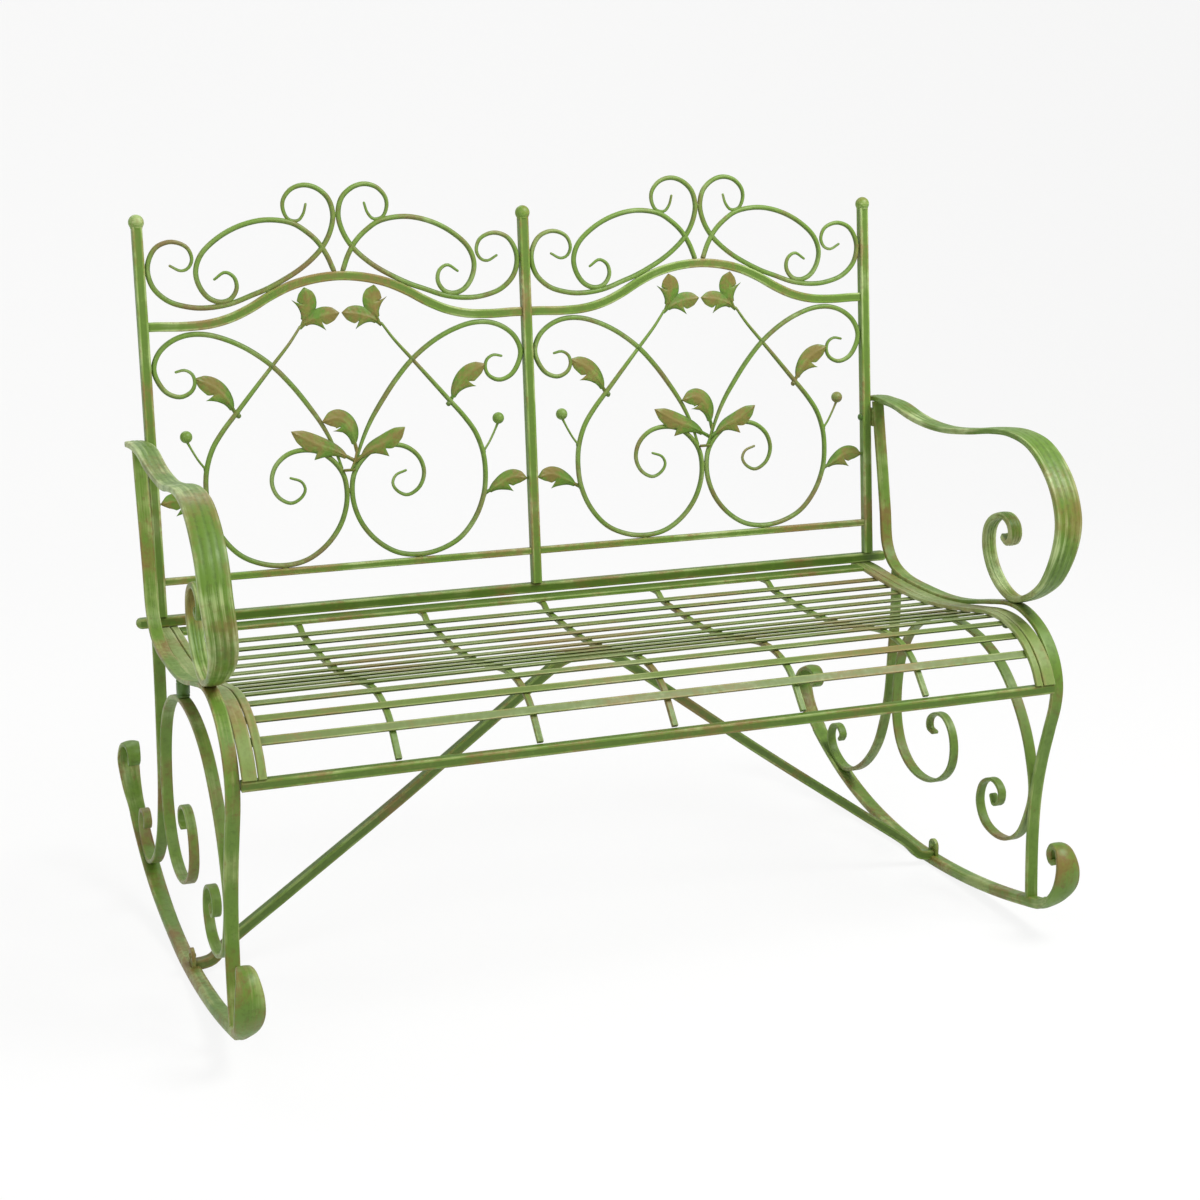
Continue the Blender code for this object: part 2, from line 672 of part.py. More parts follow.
for side, hand in (("left", -1), ("right", 1)):
    frame = add_frame("side_" + side, (hand * side_plane, middle_forward, 0), (math.pi / 2, 0, -math.pi / 2))

    arm = to_mesh(add_strap("arm_" + side, arm_path, arm_thickness))
    splay(arm, hand)
    finish(arm, paint_green, frame)

    # Leg strap with the lug that is bolted to the post
    leg = add_strap("leg_" + side, with_width(leg_path, leg_width), strap_thickness)
    lug_front = along(leg_path, crossing(leg_path, arm_bolt_height, axis=1))[0][0]
    lug_side = side_gap + leg_width / 2 - touch_gap - arm_lug_thickness / 2
    bolt_forward = -(arm_bolt_height - back_height) * lean
    lug = add_box(
        "lug",
        (arm_lug_length, arm_lug_height, arm_lug_thickness),
        (lug_front - arm_lug_length / 2, arm_bolt_height, hand * lug_side),
    )
    hole = add_cylinder(
        "hole",
        bolt_shank / 2 + bolt_clearance,
        3 * arm_lug_thickness,
        (bolt_forward, arm_bolt_height, hand * lug_side),
    )
    leg = combine("leg_" + side, leg, [lug])
    leg = combine("leg_" + side, leg, [hole], "DIFFERENCE")
    finish(leg, paint_green, frame)

    rear_leg = add_strap("rear_leg_" + side, with_width(rear_leg_path, rear_leg_width), strap_thickness, 0)
    finish(rear_leg, paint_dark, frame)

    arch = add_strap("arch_" + side, with_width(arch_path, arch_width), arch_thickness, 0)
    finish(arch, paint_dark, frame)

    # Spacer between the arch and the leg strap
    reach = (spacer_forward - spacer_size / 2, spacer_forward + spacer_size / 2)
    crown = [point for point in arch_path if point[1] > arch_crown_low]
    arch_top = max(heights_between(crown, *reach)) + arch_thickness / 2
    leg_bottom = min(heights_between(leg_path, *reach)) - strap_thickness / 2
    spacer = add_box(
        "spacer_" + side,
        (spacer_size, leg_bottom - arch_top - 2 * spacer_gap, spacer_size),
        (spacer_forward, (leg_bottom + arch_top) / 2, 0),
        1 * mm,
    )
    finish(spacer, paint_dark, frame)

    # Rocker with the upright lug that the brace butts against
    rocker = add_strap("rocker_" + side, rocker_path, strap_thickness)
    lug_foot = beside(rocker_path, lug_forward, 0)
    lug_outline = [(lug_foot[0] - lug_width / 2, lug_foot[1]), (lug_foot[0] + lug_width / 2, lug_foot[1])]
    for step in range(9):
        angle = math.pi * step / 8
        rise = strap_thickness / 2 + lug_height - lug_width / 2 * (1 - math.sin(angle))
        lug_outline.append((lug_foot[0] + lug_width / 2 * math.cos(angle), lug_foot[1] + rise))
    lug = add_curve("lug", lug_outline, closed=True)
    lug.data.fill_mode = "BOTH"
    lug.data.extrude = lug_thickness / 2
    rocker = combine("rocker_" + side, rocker, [lug])
    finish(rocker, paint_green, frame)

    # Seat side rail, with a hole for the bolt through it
    rail_side = hand * (side_plane - rail_middle)
    bolt_side = hand * (side_plane - rail_inner - slat_tuck - seat_nut_clearance - bolt_head / 2)
    bolt_seat = along(seat_path, crossing(seat_path, seat_bolt_forward))[0]
    rail = add_strap("rail", with_width(seat_path, seat_rail_width), seat_rail_thickness)
    rail.location.z = rail_side
    hole = add_cylinder(
        "hole",
        bolt_shank / 2 + bolt_clearance,
        4 * seat_rail_thickness,
        (bolt_seat[0], bolt_seat[1], bolt_side),
        "Y",
    )
    rail = combine("seat_side_rail_" + side, rail, [hole], "DIFFERENCE")
    finish(rail, paint_light, frame)

    # Seat bolt, flush with the rail's top, with its nut below the slats
    shank_top = bolt_seat[1] + seat_rail_thickness / 2 - touch_gap
    nut_bottom = bolt_seat[1] - seat_rail_thickness / 2 - seat_nut_drop - bolt_head_height
    shank = add_cylinder(
        "shank",
        bolt_shank / 2,
        shank_top - nut_bottom,
        (bolt_seat[0], (shank_top + nut_bottom) / 2, bolt_side),
        "Y",
    )
    nut = add_cylinder(
        "nut",
        bolt_head / 2,
        seat_nut_drop - seat_nut_gap + bolt_head_height - 1 * mm,
        (bolt_seat[0], nut_bottom + 1 * mm + (seat_nut_drop - seat_nut_gap + bolt_head_height - 1 * mm) / 2, bolt_side),
        "Y",
        6,
    )
    bolt = combine("seat_bolt_" + side, shank, [nut])
    finish(bolt, paint_dark, frame)

    # Arm bolt through the end post and the lug
    head_side = post_bar + side_gap + leg_width / 2 + touch_gap
    nut_side = lug_side - arm_lug_thickness / 2 - touch_gap
    shank = add_cylinder(
        "shank",
        bolt_shank / 2,
        head_side - nut_side + bolt_head_height + 4 * mm,
        (bolt_forward, arm_bolt_height, hand * (head_side + nut_side - bolt_head_height) / 2),
    )
    head = add_cylinder(
        "head",
        bolt_head / 2,
        bolt_head_height,
        (bolt_forward, arm_bolt_height, hand * (head_side + bolt_head_height / 2)),
    )
    nut = add_cylinder(
        "nut",
        bolt_head / 2,
        bolt_head_height,
        (bolt_forward, arm_bolt_height, hand * (nut_side - bolt_head_height / 2)),
        sides=6,
    )
    bolt = combine("arm_bolt_" + side, shank, [head, nut])
    finish(bolt, paint_dark, frame)

# Seat rails that run across
front_rail = add_box(
    "seat_front_rail",
    (2 * (side_plane - leg_width / 2 - seat_side_gap), front_rail_bar, front_rail_bar),
    (0, middle_forward - front_rail_forward, front_rail_height),
    1 * mm,
)
finish(front_rail, paint_green)
rear_rail = add_box(
    "seat_rear_rail",
    (2 * (rail_inner - touch_gap), rear_rail_width, seat_rail_thickness),
    (0, middle_forward - rear_rail_forward, rear_rail_height),
    1 * mm,
)
finish(rear_rail, paint_green)

# Slats, square to the seat's curve and tucked under the side rails
for index in range(slat_count):
    point, direction = along(seat_path, first_slat + slat_pitch * index)
    slope = math.atan2(direction[1], direction[0])
    centre = point + np.array([math.sin(slope), -math.cos(slope)]) * slat_drop
    slat = add_box(
        f"slat_{index + 1:02d}",
        (2 * (rail_inner + slat_tuck), slat_width, slat_thickness),
        (0, middle_forward - centre[0], centre[1]),
        0.6 * mm,
    )
    slat.rotation_euler = (-slope, 0, 0)
    finish(slat, paint_light)

# Long bars under the slats, from below the rear rail to the top of the front rail
bar_rear = rear_rail_height - (seat_rail_thickness + long_bar_thickness) / 2 - touch_gap
bar_line = [(rear_rail_forward - 12 * mm, bar_rear), (rear_rail_forward + 12 * mm, bar_rear)]
bar_line.append(beside(seat_path, rear_rail_forward + rear_rail_width, -bar_drop - 0.3 * mm))
bar_line += [point for point in offset_path(seat_path, -bar_drop)[:-2] if point[0] > 60 * mm]
bar_line.append((front_rail_forward - front_rail_bar / 3, front_rail_top + long_bar_thickness / 3 + touch_gap))
bar_path = smooth_path(bar_line)
for index in range(long_bar_count):
    across = (index - (long_bar_count - 1) / 2) * long_bar_pitch
    bar = add_strap(f"seat_bar_{index + 1}", with_width(bar_path, long_bar_width), long_bar_thickness, 0)
    bar.location = (across, middle_forward, 0)
    bar.rotation_euler = (math.pi / 2, 0, -math.pi / 2)
    finish(bar, paint_green)

# Brace between the rockers, under the seat
brace_rest = beside(rocker_path, lug_forward - brace_width / 2, (strap_thickness + brace_thickness) / 2 + touch_gap)
brace_end = side_plane - lug_thickness / 2 - touch_gap
foot_height = brace_rest[1] + 0.1 * mm
brace_bend = [(brace_end - 26 * mm, foot_height + 3 * mm), (brace_end - 13 * mm, foot_height + 0.2 * mm)]
spread = side_plane / (568 * mm)
half = [np.array([point[0] * spread, point[1]]) for point in in_metres(brace_line)] + brace_bend + [(brace_end, foot_height)]
mirrored = [(-point[0], point[1]) for point in half[:0:-1]]
brace_path = smooth_path(mirrored + half, turn=24.0, reach=250 * mm)
brace = add_strap("brace", with_width(brace_path, brace_width), brace_thickness)
brace.location = (0, middle_forward - lug_forward, 0)
brace.rotation_euler = (math.pi / 2, 0, 0)
finish(brace, paint_green)

# Back panel: bottom rail, posts and rails
bottom_rail = add_box(
    "back_bottom_rail",
    (post_spacing + post_bar + 2 * bottom_rail_overhang, bottom_rail_bar, bottom_rail_bar),
    (0, middle_forward, bottom_rail_height),
    1 * mm,
)
finish(bottom_rail, paint_green)

back = add_frame("back", (0, middle_forward, back_height), (math.pi / 2 - back_recline, 0, 0))
post_clear = bottom_rail_bar / 2 + touch_gap + post_bar / 2 * math.sin(back_recline)
post_foot = (bottom_rail_height + post_clear - back_height) / math.cos(back_recline)
for index, name in enumerate(("left", "middle", "right")):
    across = (index - 1) * post_spacing / 2
    post = add_box("post", (post_bar, post_top - post_foot, post_bar), (across, (post_top + post_foot) / 2, 0), 1 * mm)
    ball = add_ball("ball", finial_radius, (across, post_top + finial_rise, 0))
    post = combine("post_" + name, post, [ball])
    if index != 1:
        height = (arm_bolt_height - back_height) / math.cos(back_recline)
        radius = bolt_shank / 2 + bolt_clearance
        hole = add_cylinder("hole", radius, 3 * post_bar, (across, height, 0), "X")
        post = combine("post_" + name, post, [hole], "DIFFERENCE")
    finish(post, paint_green, back)

bay = (post_spacing / 2 - post_bar) / 2
across_low = touch_gap / 2
across_high = bay - touch_gap
rail_half = in_bay(crest_rail_line, 0, 1) + [np.array([across_high, crest_rail_line[-1][1] * mm])]

# Rod paths for half a bay, fitted between the post, the twin scroll and the rails
crest_gap = (crest_rail_height + scroll_rod) / 2 + touch_gap
crest_rest = beside(rail_half, crest_rest_side * mm * bay / (268 * mm), crest_gap)
crest_points = in_bay(crest_side_line, 0, 1) + [crest_rest] + in_bay(crest_top_line, 0, 1)
crest_outer = settle(rod_path(crest_points, scroll_tip, scroll_rod, scroll_tip), 0, across_low, across_high)
crest_inner = rod_path(in_bay(crest_inner_line, 0, 1), scroll_rod, scroll_rod, scroll_tip)
heart_outer = rod_path(in_bay(heart_outer_line, 0, 1), scroll_tip, scroll_rod, scroll_tip)
heart_outer = settle(heart_outer, 0, high=across_high)
heart_inner = rod_path(in_bay(heart_inner_line, 0, 1), scroll_tip, scroll_rod, scroll_tip)
heart_inner = settle(heart_inner, 0, low=across_low)
heart_inner = settle(heart_inner, 1, low=lower_rail_bar / 2 + touch_gap)

# The bud's stem and the leaves start on the rod
bud_rod = rod_path(rooted(in_bay(bud_stem_line, 0, 1), heart_inner), bud_stem, bud_stem, bud_stem)
leaf_midribs = []
for midrib, width, lobe in half_leaves:
    leaf_midribs.append((rooted(in_bay(midrib, 0, 1), heart_inner), width * mm, lobe))

for bay_name, bay_hand in (("left", -1), ("right", 1)):
    bay_middle = bay_hand * post_spacing / 4

    lower = add_box("back_lower_rail_" + bay_name, (2 * (bay - touch_gap), lower_rail_bar, lower_rail_bar), edge=1 * mm)
    lower.location.x = bay_middle
    finish(lower, paint_green, back)

    mirrored = [(-point[0], point[1]) for point in rail_half[:0:-1]]
    crest_path = with_width(smooth_path(mirrored + rail_half), crest_rail_depth)
    crest = add_strap("crest_rail_" + bay_name, crest_path, crest_rail_height, 1 * mm)
    crest.location.x = bay_middle
    finish(crest, paint_green, back)

    for half_name, hand in (("outer", bay_hand), ("inner", -bay_hand)):
        name = bay_name + "_" + half_name
        large = add_rod("large", to_bay(crest_outer, bay_middle, hand))
        small = add_rod("small", to_bay(crest_inner, bay_middle, hand))
        scroll = combine("crest_scroll_" + name, large, [small])
        finish(scroll, paint_leaf, back)

        outer = add_rod("outer", to_bay(heart_outer, bay_middle, hand))
        inner = add_rod("inner", to_bay(heart_inner, bay_middle, hand))
        stem = add_rod("stem", to_bay(bud_rod, bay_middle, hand))
        bud_place = in_bay([bud_centre], bay_middle, hand)[0]
        bud = add_ball("bud", bud_radius, (bud_place[0], bud_place[1], 0), 10, 6)
        leaves = []
        for midrib, width, lobe in leaf_midribs:
            leaves.append(add_leaf("leaf", to_bay(midrib, bay_middle, hand), width, lobe))
        vine = combine("vine_" + name, outer, [inner, stem, bud] + leaves)
        finish(vine, paint_leaf, back)

    # Sprig welded on the front of the hearts' lower ends
    sprig_front = (scroll_rod + leaf_thickness) / 2 + touch_gap
    leaves = []
    for midrib, width, lobe in sprig_leaves:
        leaves.append(add_leaf("leaf", in_bay(midrib, bay_middle, 1), width * mm, lobe))
    link = add_box(
        "link",
        (sprig_link_width, sprig_link_height, leaf_thickness),
        (bay_middle, sprig_link_centre, 0),
    )
    stem_top = in_bay([sprig_stem_top], bay_middle, 1)[0]
    stem_path = [(bay_middle + 3 * mm, sprig_link_centre), (stem_top[0], stem_top[1])]
    stem = add_strap("stem", with_width(stem_path, leaf_thickness), 5 * mm, 0)
    sprig = combine("sprig_" + bay_name, link, [stem] + leaves)
    sprig.location.z = sprig_front
    finish(sprig, paint_leaf, back)
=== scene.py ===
import math

import bmesh
import bpy
import numpy as np
from mathutils import Matrix, Vector


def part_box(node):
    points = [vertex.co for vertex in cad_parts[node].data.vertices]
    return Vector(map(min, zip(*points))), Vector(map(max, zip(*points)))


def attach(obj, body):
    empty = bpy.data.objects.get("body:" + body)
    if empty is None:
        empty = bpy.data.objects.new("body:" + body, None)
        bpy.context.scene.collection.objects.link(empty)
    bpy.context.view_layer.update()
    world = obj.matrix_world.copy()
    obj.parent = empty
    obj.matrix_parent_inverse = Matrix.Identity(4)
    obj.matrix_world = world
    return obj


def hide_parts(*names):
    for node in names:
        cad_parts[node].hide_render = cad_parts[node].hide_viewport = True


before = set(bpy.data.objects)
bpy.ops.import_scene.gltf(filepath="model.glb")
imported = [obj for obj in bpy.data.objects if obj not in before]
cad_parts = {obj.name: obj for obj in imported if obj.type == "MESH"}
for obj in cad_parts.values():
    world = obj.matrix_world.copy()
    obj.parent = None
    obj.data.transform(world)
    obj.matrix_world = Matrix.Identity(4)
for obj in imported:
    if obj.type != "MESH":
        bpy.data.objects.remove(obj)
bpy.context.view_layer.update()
print("frame loaded:", len(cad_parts), "nodes")

mm = 0.001

# where the steelwork stands: same values as the CAD
bench = {
    "postSpacing": 1100 * mm,
    "postBar": 14 * mm,
    "backHeight": 493.6 * mm,
    "recline": math.radians(5.15),
    "sideGap": 2 * mm,
    "weldGap": 0.3 * mm,
    "legWidth": 18 * mm,
    "strap": 6 * mm,
}
sidePlane = (bench["postSpacing"] + bench["postBar"] + bench["legWidth"]) / 2 + bench["sideGap"]


# lines are lists of points: (forward, height, width) on a side, (across, up, size) on the back
def metres(line):
    return [np.array(point, float) * mm for point in line]


def splinePoint(around, knots, share):
    # centripetal Catmull-Rom, between the second and third of four points
    at = knots[1] + (knots[2] - knots[1]) * share

    def blend(first, second, start, end):
        return first + (second - first) * ((at - start) / (end - start))

    a = [blend(around[i], around[i + 1], knots[i], knots[i + 1]) for i in range(3)]
    b = [blend(a[i], a[i + 1], knots[i], knots[i + 2]) for i in range(2)]
    return blend(b[0], b[1], knots[1], knots[2])


def smoothLine(points, step=5 * mm):
    points = [np.array(point, float) for point in points]
    padded = [2 * points[0] - points[1]] + points + [2 * points[-1] - points[-2]]
    fine = []
    for index in range(len(points) - 1):
        around = padded[index:index + 4]
        knots = [0.0]
        for first, second in zip(around, around[1:]):
            knots.append(knots[-1] + math.sqrt(np.linalg.norm((second - first)[:2])))
        fine += [splinePoint(around, knots, share / 24) for share in range(24)]
    fine.append(points[-1])
    return evenLine(fine, step)


def distances(line):
    lengths = [0.0]
    for first, second in zip(line, line[1:]):
        lengths.append(lengths[-1] + np.linalg.norm((second - first)[:2]))
    return np.array(lengths)


def evenLine(line, step):
    lengths = distances(line)
    count = max(2, round(lengths[-1] / step) + 1)
    wanted = np.linspace(0, lengths[-1], count)
    line = np.array(line)
    columns = [np.interp(wanted, lengths, column) for column in line.T]
    return [np.array(row) for row in zip(*columns)]


def along(line, distance):
    lengths = distances(line)
    index = int(np.clip(np.searchsorted(lengths, distance) - 1, 0, len(line) - 2))
    step = (line[index + 1] - line[index])[:2]
    share = (distance - lengths[index]) / (lengths[index + 1] - lengths[index])
    return line[index][:2] + step * share, step / np.linalg.norm(step)


def crossing(line, value, axis=0):
    lengths = distances(line)
    for index in range(len(line) - 1):
        a, b = line[index][axis], line[index + 1][axis]
        if (a - value) * (b - value) <= 0 and a != b:
            return lengths[index] + (lengths[index + 1] - lengths[index]) * (value - a) / (b - a)
    return lengths[-1]


def beside(line, value, distance, axis=0):
    point, way = along(line, crossing(line, value, axis))
    return point + np.array([-way[1], way[0]]) * distance


def withWidth(points, width):
    return [np.array([point[0], point[1], width]) for point in points]


def ease(value):
    value = min(max(value, 0), 1)
    return value * value * (3 - 2 * value)


def onSide(hand):
    # puts a drawing of the side in its place: forward, height, outwards
    return lambda forward, height, out: Vector((hand * (sidePlane + out), middleForward - forward, height))


def onBack(middle, hand):
    # puts a drawing of the back in its place: across the half bay, up the panel, towards the sitter
    lean = bench["recline"]

    def place(across, up, front):
        y = middleForward + up * math.sin(lean) - front * math.cos(lean)
        z = bench["backHeight"] + up * math.cos(lean) + front * math.sin(lean)
        return Vector((middle + hand * across, y, z))
    return place


def newShape():
    shape = bmesh.new()
    shape.verts.layers.float.new("wearAndLight")
    shape.verts.layers.float_vector.new("flow")
    return shape


def addVert(shape, spot, wearAndLightValue, flow):
    # how far it is rubbed, which also sets its painted highlight and painted shade, and where it lies along
    # and across its bar, for the brush hairs
    vert = shape.verts.new(spot)
    vert[shape.verts.layers.float["wearAndLight"]] = wearAndLightValue
    vert[shape.verts.layers.float_vector["flow"]] = flow
    return vert


def joinRings(shape, rings):
    count = len(rings[0])
    for first, second in zip(rings, rings[1:]):
        for k in range(count):
            shape.faces.new((first[k], first[(k + 1) % count], second[(k + 1) % count], second[k]))


def capRing(shape, ring, hub):
    for k in range(len(ring)):
        shape.faces.new((ring[k], ring[(k + 1) % len(ring)], hub))


# grooveHalf is a share of the strap's half width, and the rubs say how much of the paint is off; the same
# values make edges and ribs lighter as painted highlight, and the groove value darkens the flutes as painted
# shade
sectionLook = {
    "corner": 1.3 * mm, "grooveHalf": 0.15,
    "flatWearAndLight": 0.3, "edgeWearAndLight": 0.75, "ribWearAndLight": 0.1, "groovePaintedShade": 0.25,
}


def strapSection(width, thickness, flute=0.0, under=0.0, corner=sectionLook["corner"], crown=0.0, grooves=()):
    # half round corners, and rolled flutes on a face: (sideways, outwards, how much it is rubbed)
    corner = min(corner, thickness * 0.45)
    half = sectionLook["grooveHalf"]
    section = []
    for up, depth in ((1, flute), (-1, under)):
        for step in range(21):
            t = -1 + step / 10
            cuts = [math.cos((t - centre) / half * math.pi / 2)
                    for centre in grooves if abs(t - centre) < half]
            cut = max(cuts, default=0)
            wearAndLight = sectionLook["edgeWearAndLight"] * abs(t) ** 6 + sectionLook["flatWearAndLight"]
            if depth > 0:
                # a groove is rubbed less, so it takes more of the painted shade
                wearAndLight = max(wearAndLight + sectionLook["ribWearAndLight"] - sectionLook["groovePaintedShade"] * cut, 0.0)
            out = thickness / 2 - depth * cut
            section.append((up * t * (width / 2 - corner), up * out + crown * t * t, wearAndLight))
        for angle in (28, 62, 90, 118, 152):
            turn = math.radians(angle)
            face = (angle < 90) - (angle > 90)
            rise = (thickness / 2 - corner) * face + corner * math.cos(turn)
            section.append((up * (width / 2 - corner + corner * math.sin(turn)), up * rise + crown, 1.0))
    return section


def squareSection(width, thickness, corner=1.6 * mm):
    # round corners rubbed bare and painted lighter, flats unrubbed and so painted darker as shade, and three
    # points along each flat, the outer two 1.6 mm from its ends
    def around(quarter, degrees):
        sx, sy = ((1, 1), (-1, 1), (-1, -1), (1, -1))[quarter % 4]
        turn = math.radians(degrees)
        return np.array((sx * (width / 2 - corner) + corner * math.cos(turn),
                         sy * (thickness / 2 - corner) + corner * math.sin(turn)))

    section = []
    for quarter in range(4):
        arc = [around(quarter, quarter * 90 + degrees) for degrees in (0, 22.5, 45, 67.5, 90)]
        flat = around(quarter + 1, quarter * 90 + 90) - arc[-1]
        edge = 1.6 * mm / np.linalg.norm(flat)
        section += [(x, y, 1.0) for x, y in arc]
        section += [(*(arc[-1] + flat * share), 0.0) for share in (edge, 0.5, 1 - edge)]
    return section


def roundSection(radius, sides=14):
    turns = [2 * math.pi * k / sides for k in range(sides)]
    # rubbed, and painted lighter, on the side that faces the sitter, and painted darker as shade on the other
    # side
    return [(radius * math.cos(turn), radius * math.sin(turn), 0.35 + 0.35 * math.sin(turn))
            for turn in turns]


endLook = {"turns": (30, 55, 75), "wearAndLight": 0.6, "hubWearAndLight": 0.7, "bulge": 0.04}


def sweep(shape, line, sectionAt, place, ends="round", endLength=3 * mm):
    # rings of a section square to the line, with rounded or flat closed ends
    lengths = distances(line)
    stations = []
    last = len(line) - 1
    for index, point in enumerate(line):
        step = (line[min(index + 1, last)] - line[max(index - 1, 0)])[:2]
        stations.append((point[:2], step / np.linalg.norm(step), sectionAt(point), 1.0, lengths[index], 0.0))
    if ends == "round":
        for spot, sign in ((0, -1), (-1, 1)):
            point, way, section, _, length, _ = stations[spot]
            extra = []
            for degrees in endLook["turns"]:
                turn = math.radians(degrees)
                out = sign * endLength * math.sin(turn)
                extra.append((point + way * out, way, section, math.cos(turn), length + out, endLook["wearAndLight"]))
            stations = extra[::-1] + stations if sign < 0 else stations + extra
    rings = []
    for point, way, section, size, length, wornAndLit in stations:
        normal = np.array([-way[1], way[0]])
        # a wide section narrows no more than its end is long
        shrink = 1 - (1 - size) * (endLength / max(max(section)[0], endLength))
        ring = []
        for side, out, wearAndLightValue in section:
            side, out = side * shrink, out * size
            spot = point + normal * out
            ring.append(addVert(shape, place(spot[0], spot[1], side), max(wearAndLightValue, wornAndLit), (length, side, out)))
        rings.append(ring)
    joinRings(shape, rings)
    for ring, station, sign in ((rings[0], stations[0], -1), (rings[-1], stations[-1], 1)):
        bulge = endLength * endLook["bulge"] * sign if ends == "round" else 0
        middle = station[0] + station[1] * bulge
        hub = addVert(shape, place(middle[0], middle[1], 0), endLook["hubWearAndLight"], (station[4], 0, 0))
        capRing(shape, ring, hub)


def rodLine(points, start, middle, end, step=4 * mm, share=0.25):
    # hammered thinner towards its ends
    line = smoothLine([np.array([point[0], point[1]]) for point in points], step)
    lengths = distances(line)
    rod = []
    for point, length in zip(line, lengths):
        at = length / lengths[-1]
        size = middle
        if at < share:
            size = start + (middle - start) * math.sin(at / share * math.pi / 2)
        if at > 1 - share:
            size = end + (middle - end) * math.sin((1 - at) / share * math.pi / 2)
        rod.append(np.array([point[0], point[1], size]))
    return rod


def settle(rod, axis, low=None, high=None):
    # stretched along one axis until its surface reaches its neighbours
    lowest = min(rod, key=lambda point: point[axis] - point[2] / 2)
    highest = max(rod, key=lambda point: point[axis] + point[2] / 2)
    start = lowest[axis] if low is None else low + lowest[2] / 2
    end = highest[axis] if high is None else high - highest[2] / 2
    scale = (end - start) / (highest[axis] - lowest[axis])
    settled = [point.copy() for point in rod]
    for point, target in zip(rod, settled):
        target[axis] = start + (point[axis] - lowest[axis]) * scale
    return settled


def addBar(shape, start, end, section, place, ends="flat", endLength=3 * mm):
    # straight bar with a few rings, so that wear can change along it
    count = max(3, round(np.linalg.norm(np.array(end) - np.array(start)) / (60 * mm)))
    line = [np.array(start) + (np.array(end) - np.array(start)) * k / count for k in range(count + 1)]
    sweep(shape, line, lambda point: section, place, ends, endLength)


def addTurned(shape, profile, centre, axis, sides=24, wearAndLightValue=0.4):
    # solid of revolution from (along, radius) pairs, such as a bolt head or a ball
    axis = Vector(axis).normalized()
    side = axis.orthogonal().normalized()
    other = axis.cross(side)
    turns = [2 * math.pi * k / sides for k in range(sides)]
    rings = []
    for height, radius in profile:
        foot = centre + axis * height
        spots = [foot + (side * math.cos(turn) + other * math.sin(turn)) * radius for turn in turns]
        if radius < 1e-6:
            spots = [foot]
        rings.append([addVert(shape, spot, wearAndLightValue, spot - centre) for spot in spots])
    for first, second in zip(rings, rings[1:]):
        for k in range(sides):
            a, b = first[k % len(first)], first[(k + 1) % len(first)]
            c, d = second[(k + 1) % len(second)], second[k % len(second)]
            corners = list(dict.fromkeys((a, b, c, d)))
            if len(corners) > 2:
                shape.faces.new(corners)


def drumProfile(low, high, radius, endRadius, filed):
    # a disc or nut with its edges turned off
    return [(low, 0.0), (low, endRadius), (low + filed, radius), (high - filed, radius), (high, endRadius),
            (high, 0.0)]


def ballProfile(radius, low=-1.0, high=1.0, steps=12):
    # from one pole, or a cut above it, to the other
    start, end = math.asin(low), math.asin(high)
    turns = [start + (end - start) * k / steps for k in range(steps + 1)]
    return [(radius * math.sin(t), radius * math.cos(t) if abs(math.cos(t)) > 1e-4 else 0.0) for t in turns]


def linear(code):
    parts = [int(code[k:k + 2], 16) / 255 for k in (1, 3, 5)]
    return tuple(c / 12.92 if c <= 0.04045 else ((c + 0.055) / 1.055) ** 2.4 for c in parts) + (1.0,)


def addNode(tree, kind, inputs=None, output=0, **settings):
    # an input takes a value or another node's socket, and the node's own socket comes back
    node = tree.nodes.new(kind)
    for key, value in settings.items():
        setattr(node, key, value)
    for key, value in (inputs or {}).items():
        if isinstance(value, bpy.types.NodeSocket):
            tree.links.new(value, node.inputs[key])
        else:
            node.inputs[key].default_value = value
    return node.outputs[output] if node.outputs else None


